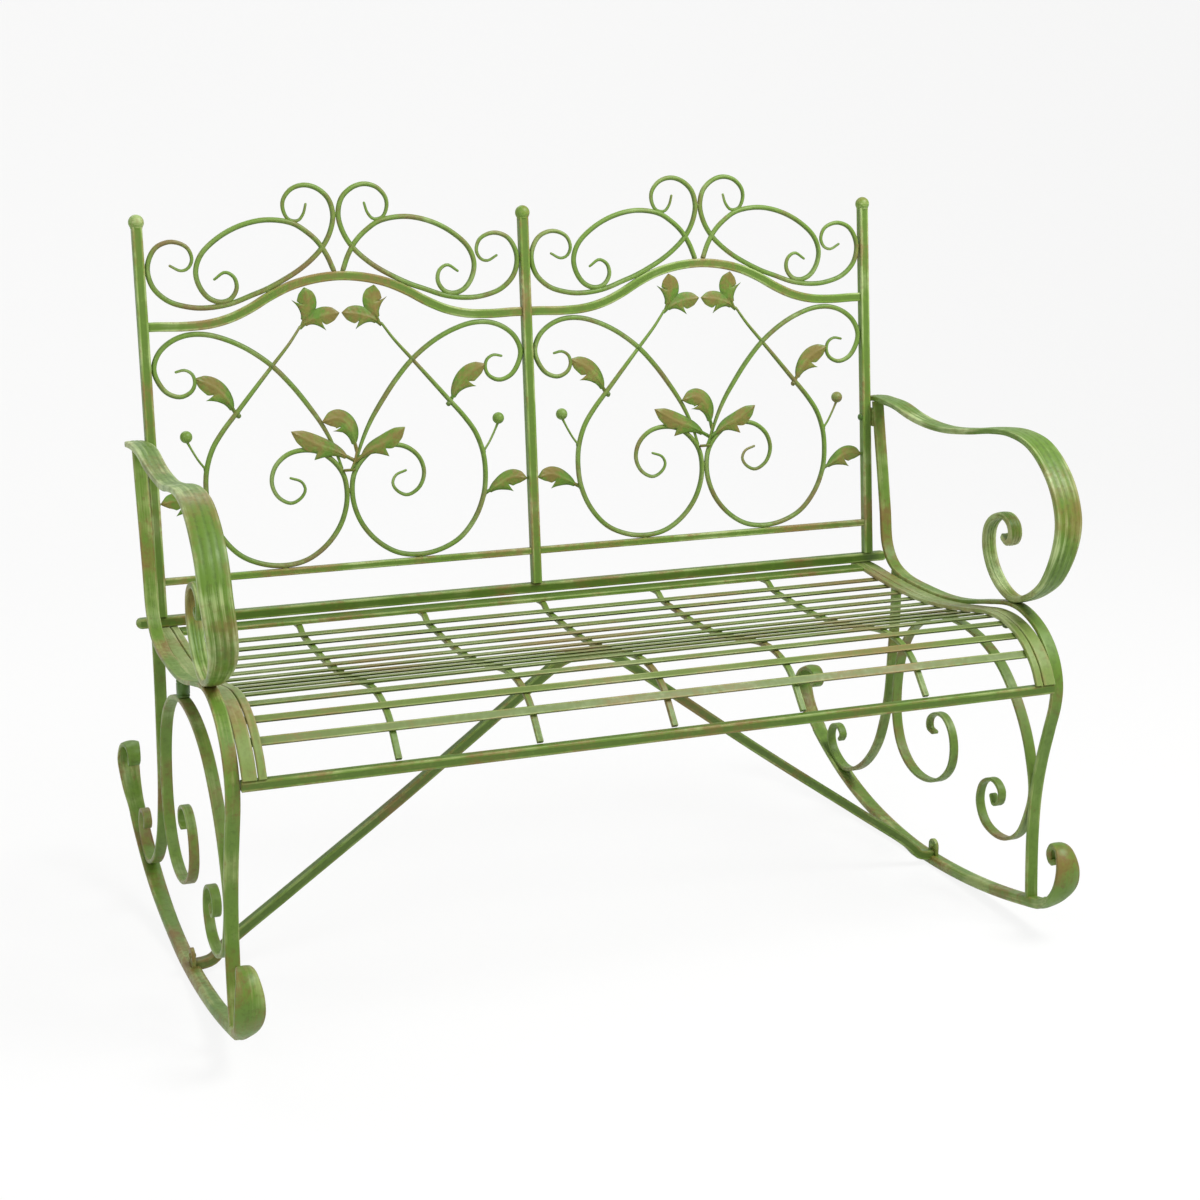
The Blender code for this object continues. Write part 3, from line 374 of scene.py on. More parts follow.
def enamelWithWearAndPaintedLight(name, look):
    # Brushed-on enamel over mild steel, rubbed back by hand while soft: the green drifts to olive and to a
    # chalky sage that is lighter on rubbed edges as painted highlight, edges and raised ribs show the brown
    # undercoat, and hollows and flat faces are darkened as painted shade.
    material = bpy.data.materials.new(name)
    material.use_nodes = True
    tree = material.node_tree
    shader = tree.nodes["Principled BSDF"]
    place = addNode(tree, "ShaderNodeTexCoord", None, "Object")
    flow = addNode(tree, "ShaderNodeAttribute", None, "Vector", attribute_name="flow")
    shifted = addNode(tree, "ShaderNodeVectorMath", {0: place, 1: (0.37, 0.11, 0.73)}, operation="ADD")
    hair = (1 / look["streakLength"], 1 / look["streakWidth"], 1 / look["streakWidth"])
    drawn = addNode(tree, "ShaderNodeVectorMath", {0: flow, 1: hair}, operation="MULTIPLY")
    values = {"wearAndLight": addNode(tree, "ShaderNodeAttribute", None, "Fac", attribute_name="wearAndLight")}
    for grain, vector, size, detail, roughness in (
            ("patches", place, look["patch"], 2.0, 0.5), ("drifts", shifted, look["drift"], 3.0, 0.55),
            ("streaks", drawn, 1.0, 4.0, 0.6), ("mottle", place, look["mottle"], 5.0, 0.65),
            ("hammered", place, look["hammer"], 1.0, 0.6)):
        values[grain] = addNode(tree, "ShaderNodeTexNoise", {
            "Vector": vector, "Scale": 1 / size, "Detail": detail, "Roughness": roughness}, "Fac")
    # each sum is one value times a factor, plus another
    for total, value, factor, other in (
            ("faded", "streaks", 0.5, "drifts"), ("wornAndLit", "wearAndLight", 0.2, "patches"),
            # the chalky sum rises where rubbed, so edges get painted highlight; the hollow sum rises where
            # little is rubbed, so flats and grooves get painted shade
            ("chalkAndEdgeHighlight", "streaks", 0.6, "wornAndLit"), ("paintedHollowShade", "wearAndLight", -1.0, "mottle"),
            ("broken", "drifts", 1.3, "mottle"), ("edge", "wearAndLight", look["edgePull"], "broken"),
            ("dents", "streaks", 0.5, "hammered")):
        values[total] = addNode(tree, "ShaderNodeMath", {0: values[value], 1: factor, 2: values[other]},
                                operation="MULTIPLY_ADD")
    # each coat covers the one below where its value lies between low and high
    colour = linear(look["green"])
    for value, low, high, share, code in (
            ("faded", 0.72, 0.98, look["oliveShare"], look["olive"]),
            # the sage coat is random chalky patches, plus painted highlight on rubbed edges
            ("chalkAndEdgeHighlight", 0.86, 1.16, look["lightShare"], look["light"]),
            # the dark shade coat is painted shade in hollows, grooves and on flat faces
            ("paintedHollowShade", 0.1, 0.5, look["paintedShadeShare"], look["shade"]),
            ("edge", look["bareFrom"], look["bareFrom"] + 0.42, look["bare"], look["brown"])):
        cover = addNode(tree, "ShaderNodeMapRange", {
            "Value": values[value], "From Min": low, "From Max": high, "To Max": share},
            interpolation_type="SMOOTHSTEP")
        colour = addNode(tree, "ShaderNodeMix", {"Factor": cover, 6: colour, 7: linear(code)}, 2,
                         data_type="RGBA")
    rough = addNode(tree, "ShaderNodeMapRange", {
        "Value": values["mottle"], "From Min": 0.3, "From Max": 0.7,
        "To Min": look["roughness"] - 0.08, "To Max": look["roughness"] + 0.1})
    bump = addNode(tree, "ShaderNodeBump", {
        "Height": values["dents"], "Strength": 0.4, "Distance": look["bump"]})
    for socket, label in ((colour, "Base Color"), (rough, "Roughness"), (bump, "Normal")):
        tree.links.new(socket, shader.inputs[label])
    shader.inputs["Specular IOR Level"].default_value = look["sheen"]
    return material


# Sizes in metres. The patches are the reach of a rubbing cloth, the streaks are brush hairs drawn
# coarse enough to show, and the mottle is the grain of the cloth.
# the shade colour and its wash share are painted shade; the light colour is partly painted highlight on
# rubbed edges
enamelBase = {
    "green": "#5d7b29", "olive": "#776f32", "light": "#a2ae6e", "shade": "#3e5518", "brown": "#775a2e",
    "patch": 60 * mm, "drift": 85 * mm, "streakLength": 90 * mm, "streakWidth": 2.6 * mm, "mottle": 8 * mm,
    "hammer": 11 * mm, "lightShare": 0.56, "oliveShare": 0.7, "paintedShadeShare": 0.6, "edgePull": 0.2, "bareFrom": 1.2,
    "bare": 0.75, "roughness": 0.47, "bump": 0.4 * mm, "sheen": 0.35,
}
enamels = {
    "strapEnamel": enamelWithWearAndPaintedLight("strapEnamelOverSteel", enamelBase),
    # the arms' sage coat is brighter and stronger, painted highlight on their lit tops as well as their own
    # tone
    "armEnamel": enamelWithWearAndPaintedLight("armEnamelWithPaintedHighlight", {
        **enamelBase, "green": "#5a7926", "light": "#b5c48a", "lightShare": 0.72, "bare": 0.45}),
    "panelEnamel": enamelWithWearAndPaintedLight("backPanelEnamelOverSteel", {
        **enamelBase, "green": "#6c8b35", "olive": "#878244", "light": "#b0bf84", "shade": "#4a6420",
        "oliveShare": 0.85, "lightShare": 0.7, "brown": "#82653a"}),
    "slatEnamel": enamelWithWearAndPaintedLight("slatEnamelOverSteel", {
        **enamelBase, "green": "#728640", "olive": "#8b7d4c", "light": "#abb381", "shade": "#506228",
        "brown": "#866c40", "patch": 110 * mm, "drift": 130 * mm, "bare": 0.6}),
    # a darker copy of the frame enamel, painted shade for the arches, rear legs, long bars and brace that sit
    # under the seat and inside the side frames
    "shadedEnamel": enamelWithWearAndPaintedLight("frameEnamelDarkenedAsShade", {
        **enamelBase, "green": "#5f7a2e", "olive": "#776c38", "light": "#90a064", "shade": "#3f541d",
        "brown": "#735b33", "patch": 55 * mm}),
    "rodEnamel": enamelWithWearAndPaintedLight("scrollRodEnamelOverSteel", {
        **enamelBase, "green": "#688634", "olive": "#7c7646", "light": "#93a569", "shade": "#4a6128",
        "brown": "#745d3a", "patch": 45 * mm, "streakWidth": 1.6 * mm, "oliveShare": 0.8}),
    "leafEnamel": enamelWithWearAndPaintedLight("castLeafEnamelBronzed", {
        **enamelBase, "green": "#597b26", "olive": "#777635", "light": "#8d9850", "shade": "#3c5417",
        "brown": "#7e6a37", "patch": 26 * mm, "drift": 34 * mm, "mottle": 6 * mm, "bare": 0.8,
        "edgePull": 0.45, "lightShare": 0.4, "oliveShare": 0.6}),
    "boltEnamel": enamelWithWearAndPaintedLight("boltEnamelOverZinc", {
        **enamelBase, "green": "#466526", "olive": "#56552c", "light": "#5f7a3b", "shade": "#2b3f18",
        "brown": "#514228", "patch": 14 * mm, "roughness": 0.4}),
}
print("enamels mixed:", len(enamels))


hands = (("Left", -1), ("Right", 1))


def link(item):
    bpy.context.scene.collection.objects.link(item)
    return item


def asPiece(name, mesh, nodes, slot, sharp):
    # every piece rides on the bench; a blank for a tree has no slot and rides on nothing
    mesh.shade_smooth()
    mesh.set_sharp_from_angle(angle=math.radians(sharp))
    piece = link(bpy.data.objects.new(name, mesh))
    if slot:
        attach(piece, "root")
        if nodes:
            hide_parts(*nodes)
    return piece


def addPiece(name, shape, finish, nodes, slot, sharp=50):
    bmesh.ops.remove_doubles(shape, verts=shape.verts, dist=1e-6)
    bmesh.ops.recalc_face_normals(shape, faces=shape.faces)
    mesh = bpy.data.meshes.new(name)
    shape.to_mesh(mesh)
    shape.free()
    mesh.materials.append(enamels[finish])
    return asPiece(name, mesh, nodes, slot, sharp)


def sweptPiece(name, line, sectionAt, place, finish, nodes, slot, ends="round", endLength=3 * mm):
    shape = newShape()
    sweep(shape, line, sectionAt, place, ends, endLength)
    return addPiece(name, shape, finish, nodes, slot)


def addPlate(shape, outline, thickness, place, filed=0.7 * mm):
    # flat plate cut to an outline, with its edges filed
    outline = [np.array(point, float) for point in outline]
    centre = sum(outline) / len(outline)
    reach = max(np.linalg.norm(point - centre) for point in outline)
    rings = []
    for depth, inset, wornAndLit in ((-1, 1, 0.9), (-1, 0, 1.0), (1, 0, 1.0), (1, 1, 0.9)):
        out = depth * (thickness / 2 - (0 if inset else filed))
        spots = [centre + (point - centre) * (1 - inset * filed / reach) for point in outline]
        rings.append([addVert(shape, place(x, y, out), wornAndLit, (x, y, out)) for x, y in spots])
    joinRings(shape, rings)
    for ring in (rings[0], rings[-1]):
        middle = sum((vert.co for vert in ring), Vector()) / len(ring)
        capRing(shape, ring, addVert(shape, middle, 0.2, (centre[0], centre[1], 0)))


# the bar is thick under the sitter and drawn out for the scrolls, which are hammered to a crown
rockerLook = {
    "width": 24 * mm, "low": 190 * mm, "flat": 44 * mm, "step": 42 * mm,
    "frontRadius": 1380 * mm, "rearRadius": 700 * mm,
    "lugForward": 207 * mm, "lugWidth": 22 * mm, "lugHeight": 26 * mm, "lugThickness": 5 * mm, "lugRise": 0.8,
    "extra": 9 * mm, "narrower": 4 * mm, "barCorner": 3.4 * mm,
    "thickRear": (-90 * mm, 110 * mm), "thickFront": (495 * mm, 552 * mm),
    "crownMiddle": 165 * mm, "crownBeyond": 340 * mm, "crownFrom": 17 * mm, "crownRise": 0.26,
    "crownMost": 4.2 * mm,
    "rivet": 4.2 * mm, "rivetDome": [(2.4, 1.0), (4.1, 0.85), (4.9, 0.45), (5.2, 0.0)],
    "front": [(521, 48, 26), (545, 66, 34), (562, 92, 38), (563, 120, 34), (547, 140, 25), (527, 139, 19),
              (518, 124, 18), (526, 112, 16), (537, 117, 14)],
    "rear": [(-199, 185, 16), (-190, 177, 17), (-180, 186, 18), (-186, 200, 20), (-206, 205, 24),
             (-230, 194, 28), (-241, 171, 32), (-231, 148, 30), (-212, 128, 27)],
}
strap = bench["strap"]
weldGap = bench["weldGap"]


def rockerFlats(radius, curlStart, hand):
    # flats along the sole's arc, from the lowest one to the curl
    low = rockerLook["low"]
    ring = radius - strap / 2
    angle = math.asin(rockerLook["flat"] / 2 / ring)
    drop = math.cos(angle)
    flats = []
    while hand * (low - curlStart) + ring * math.sin(angle) < -rockerLook["step"] / 5:
        height = strap / 2 + ring * (drop - math.cos(angle))
        flats.append(np.array([low + hand * ring * math.sin(angle), height, rockerLook["width"]]))
        angle += rockerLook["step"] / ring
    return flats


rearCurl = metres(rockerLook["rear"])
frontCurl = metres(rockerLook["front"])
rockerPoints = rearCurl + rockerFlats(rockerLook["rearRadius"], rearCurl[-1][0], -1)[::-1]
rockerPoints += rockerFlats(rockerLook["frontRadius"], frontCurl[0][0], 1) + frontCurl
rockerLine = smoothLine(rockerPoints)
for point in rockerLine:
    point[1] = max(point[1], strap / 2)
middleForward = (max(point[0] for point in rockerLine) + min(point[0] for point in rockerLine)) / 2
print("rocker line:", len(rockerLine), "stations, middle at", round(middleForward, 4))


def rockerSection(point):
    forward, _, width = point
    (rear, rearFull), (frontFull, front) = rockerLook["thickRear"], rockerLook["thickFront"]
    bar = ease((forward - rear) / (rearFull - rear)) * (1 - ease((forward - frontFull) / (front - frontFull)))
    extra = rockerLook["extra"] * bar
    crown = 0.0
    if abs(forward - rockerLook["crownMiddle"]) > rockerLook["crownBeyond"]:
        wide = max(width - rockerLook["crownFrom"], 0)
        crown = min(wide * rockerLook["crownRise"], rockerLook["crownMost"])
    section = strapSection(width - rockerLook["narrower"] * bar, strap + extra,
                           corner=sectionLook["corner"] + rockerLook["barCorner"] * bar, crown=crown)
    return [(side, out + extra / 2, wearAndLight) for side, out, wearAndLight in section]


# the lug stands on the thick bar, so it is higher than on the strap
foot = beside(rockerLine, rockerLook["lugForward"], 0)
foot[1] += rockerLook["extra"] * rockerLook["lugRise"]
halfLug = rockerLook["lugWidth"] / 2
lugOutline = [(foot[0] - halfLug, foot[1]), (foot[0] + halfLug, foot[1])]
for step in range(13):
    turn = math.pi * step / 12
    rise = strap / 2 + rockerLook["lugHeight"] - halfLug * (1 - math.sin(turn))
    lugOutline.append((foot[0] + halfLug * math.cos(turn), foot[1] + rise))
rivetHeight = foot[1] + strap / 2 + rockerLook["lugHeight"] - halfLug
dome = [(out * mm, share * rockerLook["rivet"]) for out, share in rockerLook["rivetDome"]]
dome = [(-out, radius) for out, radius in dome[::-1]] + dome
for side, hand in hands:
    place = onSide(hand)
    shape = newShape()
    sweep(shape, rockerLine, rockerSection, place)
    addPlate(shape, lugOutline, rockerLook["lugThickness"], place)
    addTurned(shape, dome, place(foot[0], rivetHeight, 0), (1, 0, 0), 20, 0.8)
    addPiece("rocker" + side, shape, "strapEnamel", ["rocker_" + side.lower()], "green_paint")
print("rockers swept")


# side frames: each leg, rear leg, arch and arm is a strap bent along its line
legLook = {
    "footDrop": 0.3 * mm,
    "line": [(-9, 681), (0, 636), (13, 576), (25, 517), (35, 465), (55, 440), (92, 426), (164, 421),
             (230, 422), (282, 429), (340, 442), (397, 452), (430, 448), (469, 430), (498, 400), (511, 366),
             (510, 336), (498, 295), (484, 247), (474, 194), (471, 135), (473, 77)],
    "lugLength": 30 * mm, "lugHeight": 28 * mm, "lugThickness": 4 * mm, "lugCorner": 5 * mm,
    "lugCut": 1.5 * mm, "boltHeight": 657 * mm,
}
footForward = legLook["line"][-1][0] * mm + 3 * mm
footSeat = beside(rockerLine, footForward + strap / 2, strap / 2 + weldGap)
legLine = smoothLine(withWidth(metres(legLook["line"]) + [(footForward, footSeat[1] + legLook["footDrop"])],
                               bench["legWidth"]))

rearLegLook = {
    "width": 16 * mm, "narrower": 4 * mm, "drawn": 150 * mm, "top": 66 * mm,
    "line": [(67, 371), (61, 282), (57, 235), (46, 188), (26, 139), (-6, 100), (-42, 76), (-75, 67)],
    "foot": (-104, 72),
    "curl": [(-124, 90), (-130, 110), (-120, 127), (-101, 130), (-90, 119), (-96, 110)],
}
rearTop = beside(legLine, rearLegLook["top"] + strap * 0.6, -strap / 2 - weldGap)
rearPoints = [(rearLegLook["top"], rearTop[1] - 0.2 * mm)] + metres(rearLegLook["line"])
rearPoints.append(beside(rockerLine, rearLegLook["foot"][0] * mm, strap + weldGap))
rearLegLine = smoothLine(withWidth(rearPoints + metres(rearLegLook["curl"]), rearLegLook["width"]), 4 * mm)


def drawNarrower(line, look, bothEnds):
    # hammered narrower towards the ends of its curls
    lengths = distances(line)
    for point, length in zip(line, lengths):
        toEnd = min(length, lengths[-1] - length) if bothEnds else lengths[-1] - length
        point[2] -= look["narrower"] * (1 - ease(toEnd / look["drawn"]))


drawNarrower(rearLegLine, rearLegLook, False)

archLook = {
    "width": 16 * mm, "thickness": 5 * mm, "narrower": 4 * mm, "drawn": 330 * mm,
    "front": [(366, 160), (373, 149), (386, 156), (388, 172), (374, 183), (355, 181), (338, 168), (332, 141),
              (348, 115), (380, 105), (412, 109), (441, 128), (458, 158)],
    "rest": (466, 196),
    "rear": [(456, 248), (439, 284), (410, 323), (369, 359), (310, 384), (235, 392), (170, 378), (118, 343),
             (92, 300), (81, 250), (83, 200), (98, 162), (124, 138), (157, 127), (195, 129), (228, 144),
             (249, 168), (254, 196), (246, 222), (226, 238), (202, 237), (184, 224), (184, 210), (197, 206)],
}
archGap = (strap + archLook["thickness"]) / 2 + weldGap
archLean = beside(legLine, archLook["rest"][1] * mm, -archGap, axis=1)
archPoints = metres(archLook["front"]) + [archLean] + metres(archLook["rear"])
archLine = smoothLine(withWidth(archPoints, archLook["width"]), 4 * mm)
drawNarrower(archLine, archLook, True)

armLook = {
    "thickness": 8 * mm, "flute": 0.4 * mm, "underFlute": 0.5 * mm, "grooves": (-0.56, -0.08, 0.5),
    "corner": 2 * mm, "crown": -0.8 * mm, "endLength": 9 * mm,
    "splay": 8.9 * mm, "splayStart": 150 * mm, "splayRun": 200 * mm,
    "splayFoot": 500 * mm, "splayRise": 100 * mm,
    "curl": (360 * mm, 520 * mm), "curlReach": 62 * mm,
    "rearShift": 3.2 * mm, "rearRun": (-10 * mm, 30 * mm),
    "line": [(-20, 685.5, 27), (-3, 687, 27), (25, 687, 30), (60, 685, 30), (110, 675, 29), (157, 670, 28),
             (210, 670, 29), (270, 677, 32), (330, 687, 35), (377, 690, 37), (425, 682, 39), (465, 658, 40),
             (494, 624, 40), (508, 582, 40), (505, 540, 38), (488, 505, 34), (459, 481, 27), (428, 466, 22)],
    "foot": (397, 461, 20),
    "end": [(362, 472, 20), (338, 494, 20), (325, 522, 20), (327, 549, 20), (343, 566, 20), (368, 573, 20),
            (387, 564, 20), (392, 548, 20), (383, 536, 20), (372, 541, 20)],
}
armStand = beside(legLine, armLook["foot"][0] * mm, (strap + armLook["thickness"]) / 2 + weldGap)
armPoints = metres(armLook["line"]) + [np.array([armStand[0], armStand[1], armLook["foot"][2] * mm])]
armLine = smoothLine(armPoints + metres(armLook["end"]), 4 * mm)


def onArm(hand):
    side = onSide(hand)

    def place(forward, height, out):
        curl = armLook["curl"]
        start, stop = armLook["rearRun"]
        if height > armLook["splayFoot"]:
            out += armLook["rearShift"] * (1 - ease((forward - start) / (stop - start)))
        if math.hypot(forward - curl[0], height - curl[1]) > armLook["curlReach"]:
            front = ease((forward - armLook["splayStart"]) / armLook["splayRun"])
            out += armLook["splay"] * front * ease((height - armLook["splayFoot"]) / armLook["splayRise"])
        return side(forward, height, out)
    return place


def armSection(point):
    return strapSection(point[2], armLook["thickness"], armLook["flute"], armLook["underFlute"],
                        armLook["corner"], armLook["crown"], armLook["grooves"])


def legSection(point):
    return strapSection(point[2], strap)


def archSection(point):
    return strapSection(point[2], archLook["thickness"])


# a nut between two thick washers, its radii as shares of the washer's
spacerLook = {
    "washer": 3.4 * mm, "washerFiled": 0.8 * mm, "washerEnd": 0.92,
    "nutGap": 3 * mm, "nutFiled": 1.6 * mm, "nut": 1.02, "nutEnd": 0.86,
}
lugFront = along(legLine, crossing(legLine, legLook["boltHeight"], axis=1))[0][0]
rear = lugFront - legLook["lugLength"]
low, high = [legLook["boltHeight"] + legLook["lugHeight"] * half for half in (-0.5, 0.5)]
soft, cut = legLook["lugCorner"], legLook["lugCut"]
lug = [(lugFront, low), (lugFront, high), (rear + soft, high), (rear + cut, high - cut), (rear, high - soft),
       (rear, low + soft), (rear + cut, low + cut), (rear + soft, low)]
lugSide = -(bench["sideGap"] + bench["legWidth"] / 2 - weldGap - legLook["lugThickness"] / 2)
for side, hand in hands:
    lower = side.lower()
    place = onSide(hand)
    sweptPiece("arm" + side, armLine, armSection, onArm(hand), "armEnamel", ["arm_" + lower], "green_paint",
               endLength=armLook["endLength"])

    shape = newShape()
    sweep(shape, legLine, legSection, place, "flat")
    addPlate(shape, lug, legLook["lugThickness"], lambda a, b, out: place(a, b, lugSide + out))
    addPiece("leg" + side, shape, "strapEnamel", ["leg_" + lower], "green_paint")

    sweptPiece("rearLeg" + side, rearLegLine, legSection, place, "shadedEnamel", ["rear_leg_" + lower],
               "dark_paint")
    sweptPiece("arch" + side, archLine, archSection, place, "shadedEnamel", ["arch_" + lower], "dark_paint")

    low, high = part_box("spacer_" + lower)
    tall, half = high[2] - low[2], (high[0] - low[0]) / 2
    foot = Vector(((low[0] + high[0]) / 2, (low[1] + high[1]) / 2, low[2]))
    shape = newShape()
    washer = drumProfile(0, spacerLook["washer"], half, half * spacerLook["washerEnd"],
                         spacerLook["washerFiled"])
    addTurned(shape, washer, foot, (0, 0, 1), 28, 0.7)
    addTurned(shape, washer, foot + Vector((0, 0, tall)), (0, 0, -1), 28, 0.7)
    nut = drumProfile(spacerLook["nutGap"], tall - spacerLook["nutGap"], half * spacerLook["nut"],
                      half * spacerLook["nutEnd"], spacerLook["nutFiled"])
    addTurned(shape, nut, foot, (0, 0, 1), 6, 0.6)
    addPiece("spacer" + side, shape, "boltEnamel", ["spacer_" + lower], "dark_paint")
print("side frames swept")


# seat: side rails that carry the slats, long bars under them, and a rail at the front and rear
seatLook = {
    "railWidth": 30 * mm, "railGap": 0.8 * mm,
    "line": [(-7, 428), (22, 427), (70, 422.5), (140, 418), (210, 417.6), (280, 424), (340, 433.5),
             (393, 441), (438, 437), (478, 420)],
    "endRise": 8 * mm, "endDrop": 17 * mm, "rearRail": (21 * mm, 28 * mm),
    "slit": 1.3 * mm, "innerStrip": 10.5 * mm, "corner": 1.6 * mm,
}
slatLook = {
    "count": 13, "width": 12 * mm, "thickness": 3 * mm, "corner": 0.9 * mm,
    "firstGap": 31 * mm, "lastGap": 42 * mm, "tuck": 14 * mm, "gap": 0.75 * mm,
}
# the long bars follow the seat's curve at shares of its length, and bend to their ends
barLook = {
    "count": 5, "pitch": 182 * mm, "width": 8 * mm, "thickness": 6 * mm, "corner": 1 * mm,
    "firstShare": 0.07, "shareStep": 0.0632, "endFlat": 12 * mm, "clearRear": 60 * mm, "clearFront": 38 * mm,
}

low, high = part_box("seat_front_rail")
frontForward, frontTop, frontBar = middleForward - (low[1] + high[1]) / 2, high[2], high[2] - low[2]
rise = seatLook["endRise"]
seatLine = smoothLine(metres(seatLook["line"]) + [
    np.array([frontForward - rise, frontTop + rise + seatLook["endDrop"]]),
    np.array([frontForward + rise / 4, frontTop + rise])])
end = seatLine[-1]
way = (seatLine[-1] - seatLine[-2]) / np.linalg.norm(seatLine[-1] - seatLine[-2])
seatEnd = end + way * (end[1] - frontTop - weldGap) / -way[1]
railLine = seatLine + [seatEnd]
railInner = sidePlane - bench["legWidth"] / 2 - seatLook["railGap"] - seatLook["railWidth"]
rearForward, rearWidth = seatLook["rearRail"]
# two strips with a slit between them, and the ends of the slats below both
inner, slit = seatLook["innerStrip"], seatLook["slit"]
outer = seatLook["railWidth"] - inner - slit
strips = ((railInner + inner / 2, inner), (railInner + inner + slit + outer / 2, outer))
for side, hand in hands:
    shape = newShape()
    for middle, width in strips:
        section = strapSection(width, strap, corner=seatLook["corner"])
        sweep(shape, railLine, lambda point: section,
              lambda forward, height, out: Vector((hand * (middle + out), middleForward - forward, height)),
              "flat")
    addPiece("seatSideRail" + side, shape, "slatEnamel", ["seat_side_rail_" + side.lower()], "light_paint")


def barAcross(name, node, corner, dome=0.0):
    low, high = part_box(node)
    middle = (Vector(low) + Vector(high)) / 2
    shape = newShape()
    section = squareSection(high[1] - low[1], high[2] - low[2], corner)
    addBar(shape, (low[0] + dome, 0), (high[0] - dome, 0), section,
           lambda a, b, out: Vector((a, middle.y + out, middle.z + b)), "round" if dome else "flat", dome)
    addPiece(name, shape, "strapEnamel", [node], "green_paint")


barAcross("seatFrontRail", "seat_front_rail", 2 * mm)
barAcross("seatRearRail", "seat_rear_rail", 1.5 * mm)
barAcross("backBottomRail", "back_bottom_rail", 2 * mm, 7 * mm)  # its ends are hammered round
print("seat rails laid")


def newTree(name, sockets):
    tree = bpy.data.node_groups.new(name, "GeometryNodeTree")
    tree.interface.new_socket("Geometry", in_out="OUTPUT", socket_type="NodeSocketGeometry")
    tree.interface.new_socket("Geometry", in_out="INPUT", socket_type="NodeSocketGeometry")
    for label, kind in sockets.items():
        tree.interface.new_socket(label, in_out="INPUT", socket_type="NodeSocket" + kind)
    return tree, addNode(tree, "NodeGroupInput").node.outputs


def closeTree(tree, geometry, enamel):
    real = addNode(tree, "GeometryNodeRealizeInstances", {"Geometry": geometry})
    painted = addNode(tree, "GeometryNodeSetMaterial", {"Geometry": real, "Material": enamel})
    addNode(tree, "NodeGroupOutput", {"Geometry": painted})


def growPiece(name, seedMesh, tree, values, nodes, slot, sharp=50):
    # runs the tree on a seed mesh, and keeps the result as a plain mesh
    seed = link(bpy.data.objects.new(name + "Seed", seedMesh))
    modifier = seed.modifiers.new("grow", "NODES")
    modifier.node_group = tree
    for item in tree.interface.items_tree:
        if item.in_out == "INPUT" and item.name in values:
            modifier[item.identifier] = values[item.name]
    seed.update_tag()
    bpy.context.view_layer.update()
    mesh = bpy.data.meshes.new_from_object(seed.evaluated_get(bpy.context.evaluated_depsgraph_get()))
    bpy.data.objects.remove(seed)
    mesh.name = name
    return asPiece(name, mesh, nodes, slot, sharp)


def lineMesh(name, points):
    mesh = bpy.data.meshes.new(name)
    mesh.from_pydata([tuple(point) for point in points], [(k, k + 1) for k in range(len(points) - 1)], [])
    return mesh


# slats: one blank stands along the seat curve, square to it
slatTree, given = newTree("slatsAlongSeat", {
    "Blank": "Object", "Slats": "Int", "First slat": "Float", "Slat pitch": "Float", "Drop": "Float",
    "Enamel": "Material"})
curve = addNode(slatTree, "GeometryNodeMeshToCurve", {"Mesh": given["Geometry"]})
row = addNode(slatTree, "GeometryNodeMeshLine", {"Count": given["Slats"]})
index = addNode(slatTree, "GeometryNodeInputIndex")
length = addNode(slatTree, "ShaderNodeMath", {0: index, 1: given["Slat pitch"], 2: given["First slat"]},
                 operation="MULTIPLY_ADD")
spot = addNode(slatTree, "GeometryNodeSampleCurve", {"Curves": curve, "Length": length}, "Position",
               mode="LENGTH")
turned = addNode(slatTree, "FunctionNodeAlignRotationToVector", {"Vector": spot.node.outputs["Tangent"]},
                 axis="Y", pivot_axis="X")
stored = addNode(slatTree, "GeometryNodeStoreNamedAttribute",
                 {"Geometry": row, "Name": "turn", "Value": turned}, data_type="QUATERNION", domain="POINT")
placed = addNode(slatTree, "GeometryNodeSetPosition", {"Geometry": stored, "Position": spot})
turn = addNode(slatTree, "GeometryNodeInputNamedAttribute", {"Name": "turn"}, data_type="QUATERNION")
blank = addNode(slatTree, "GeometryNodeObjectInfo", {"Object": given["Blank"]}, "Geometry")
slats = addNode(slatTree, "GeometryNodeInstanceOnPoints",
                {"Points": placed, "Instance": blank, "Rotation": turn})
fall = addNode(slatTree, "ShaderNodeCombineXYZ", {"Z": given["Drop"]})
sunk = addNode(slatTree, "GeometryNodeTranslateInstances",
               {"Instances": slats, "Translation": fall, "Local Space": True})
closeTree(slatTree, sunk, given["Enamel"])

shape = newShape()
halfSlat = railInner + slatLook["tuck"]
slatSection = squareSection(slatLook["width"], slatLook["thickness"], slatLook["corner"])
addBar(shape, (-halfSlat, 0), (halfSlat, 0), slatSection, lambda a, b, out: Vector((a, out, b)))
slatBlank = addPiece("slatBlank", shape, "slatEnamel", None, None)
seatLength = distances(seatLine)[-1]
firstSlat = crossing(seatLine, rearForward + rearWidth / 2) + slatLook["firstGap"]
slatPitch = (seatLength - firstSlat - slatLook["lastGap"]) / (slatLook["count"] - 1)
slatDrop = (strap + slatLook["thickness"]) / 2 + slatLook["gap"]
seatCurve = lineMesh("seatCurve", [(0, -point[0], point[1]) for point in seatLine])
seatSlats = growPiece("seatSlats", seatCurve, slatTree, {
    "Blank": slatBlank, "Slats": slatLook["count"], "First slat": firstSlat, "Slat pitch": slatPitch,
    "Drop": slatDrop, "Enamel": enamels["slatEnamel"]},
    [f"slat_{k + 1:02d}" for k in range(slatLook["count"])], "light_paint")
bpy.data.objects.remove(slatBlank)
seatSlats.data.transform(Matrix.Translation((0, middleForward, 0)))
print("slats laid:", len(seatSlats.data.polygons), "faces")

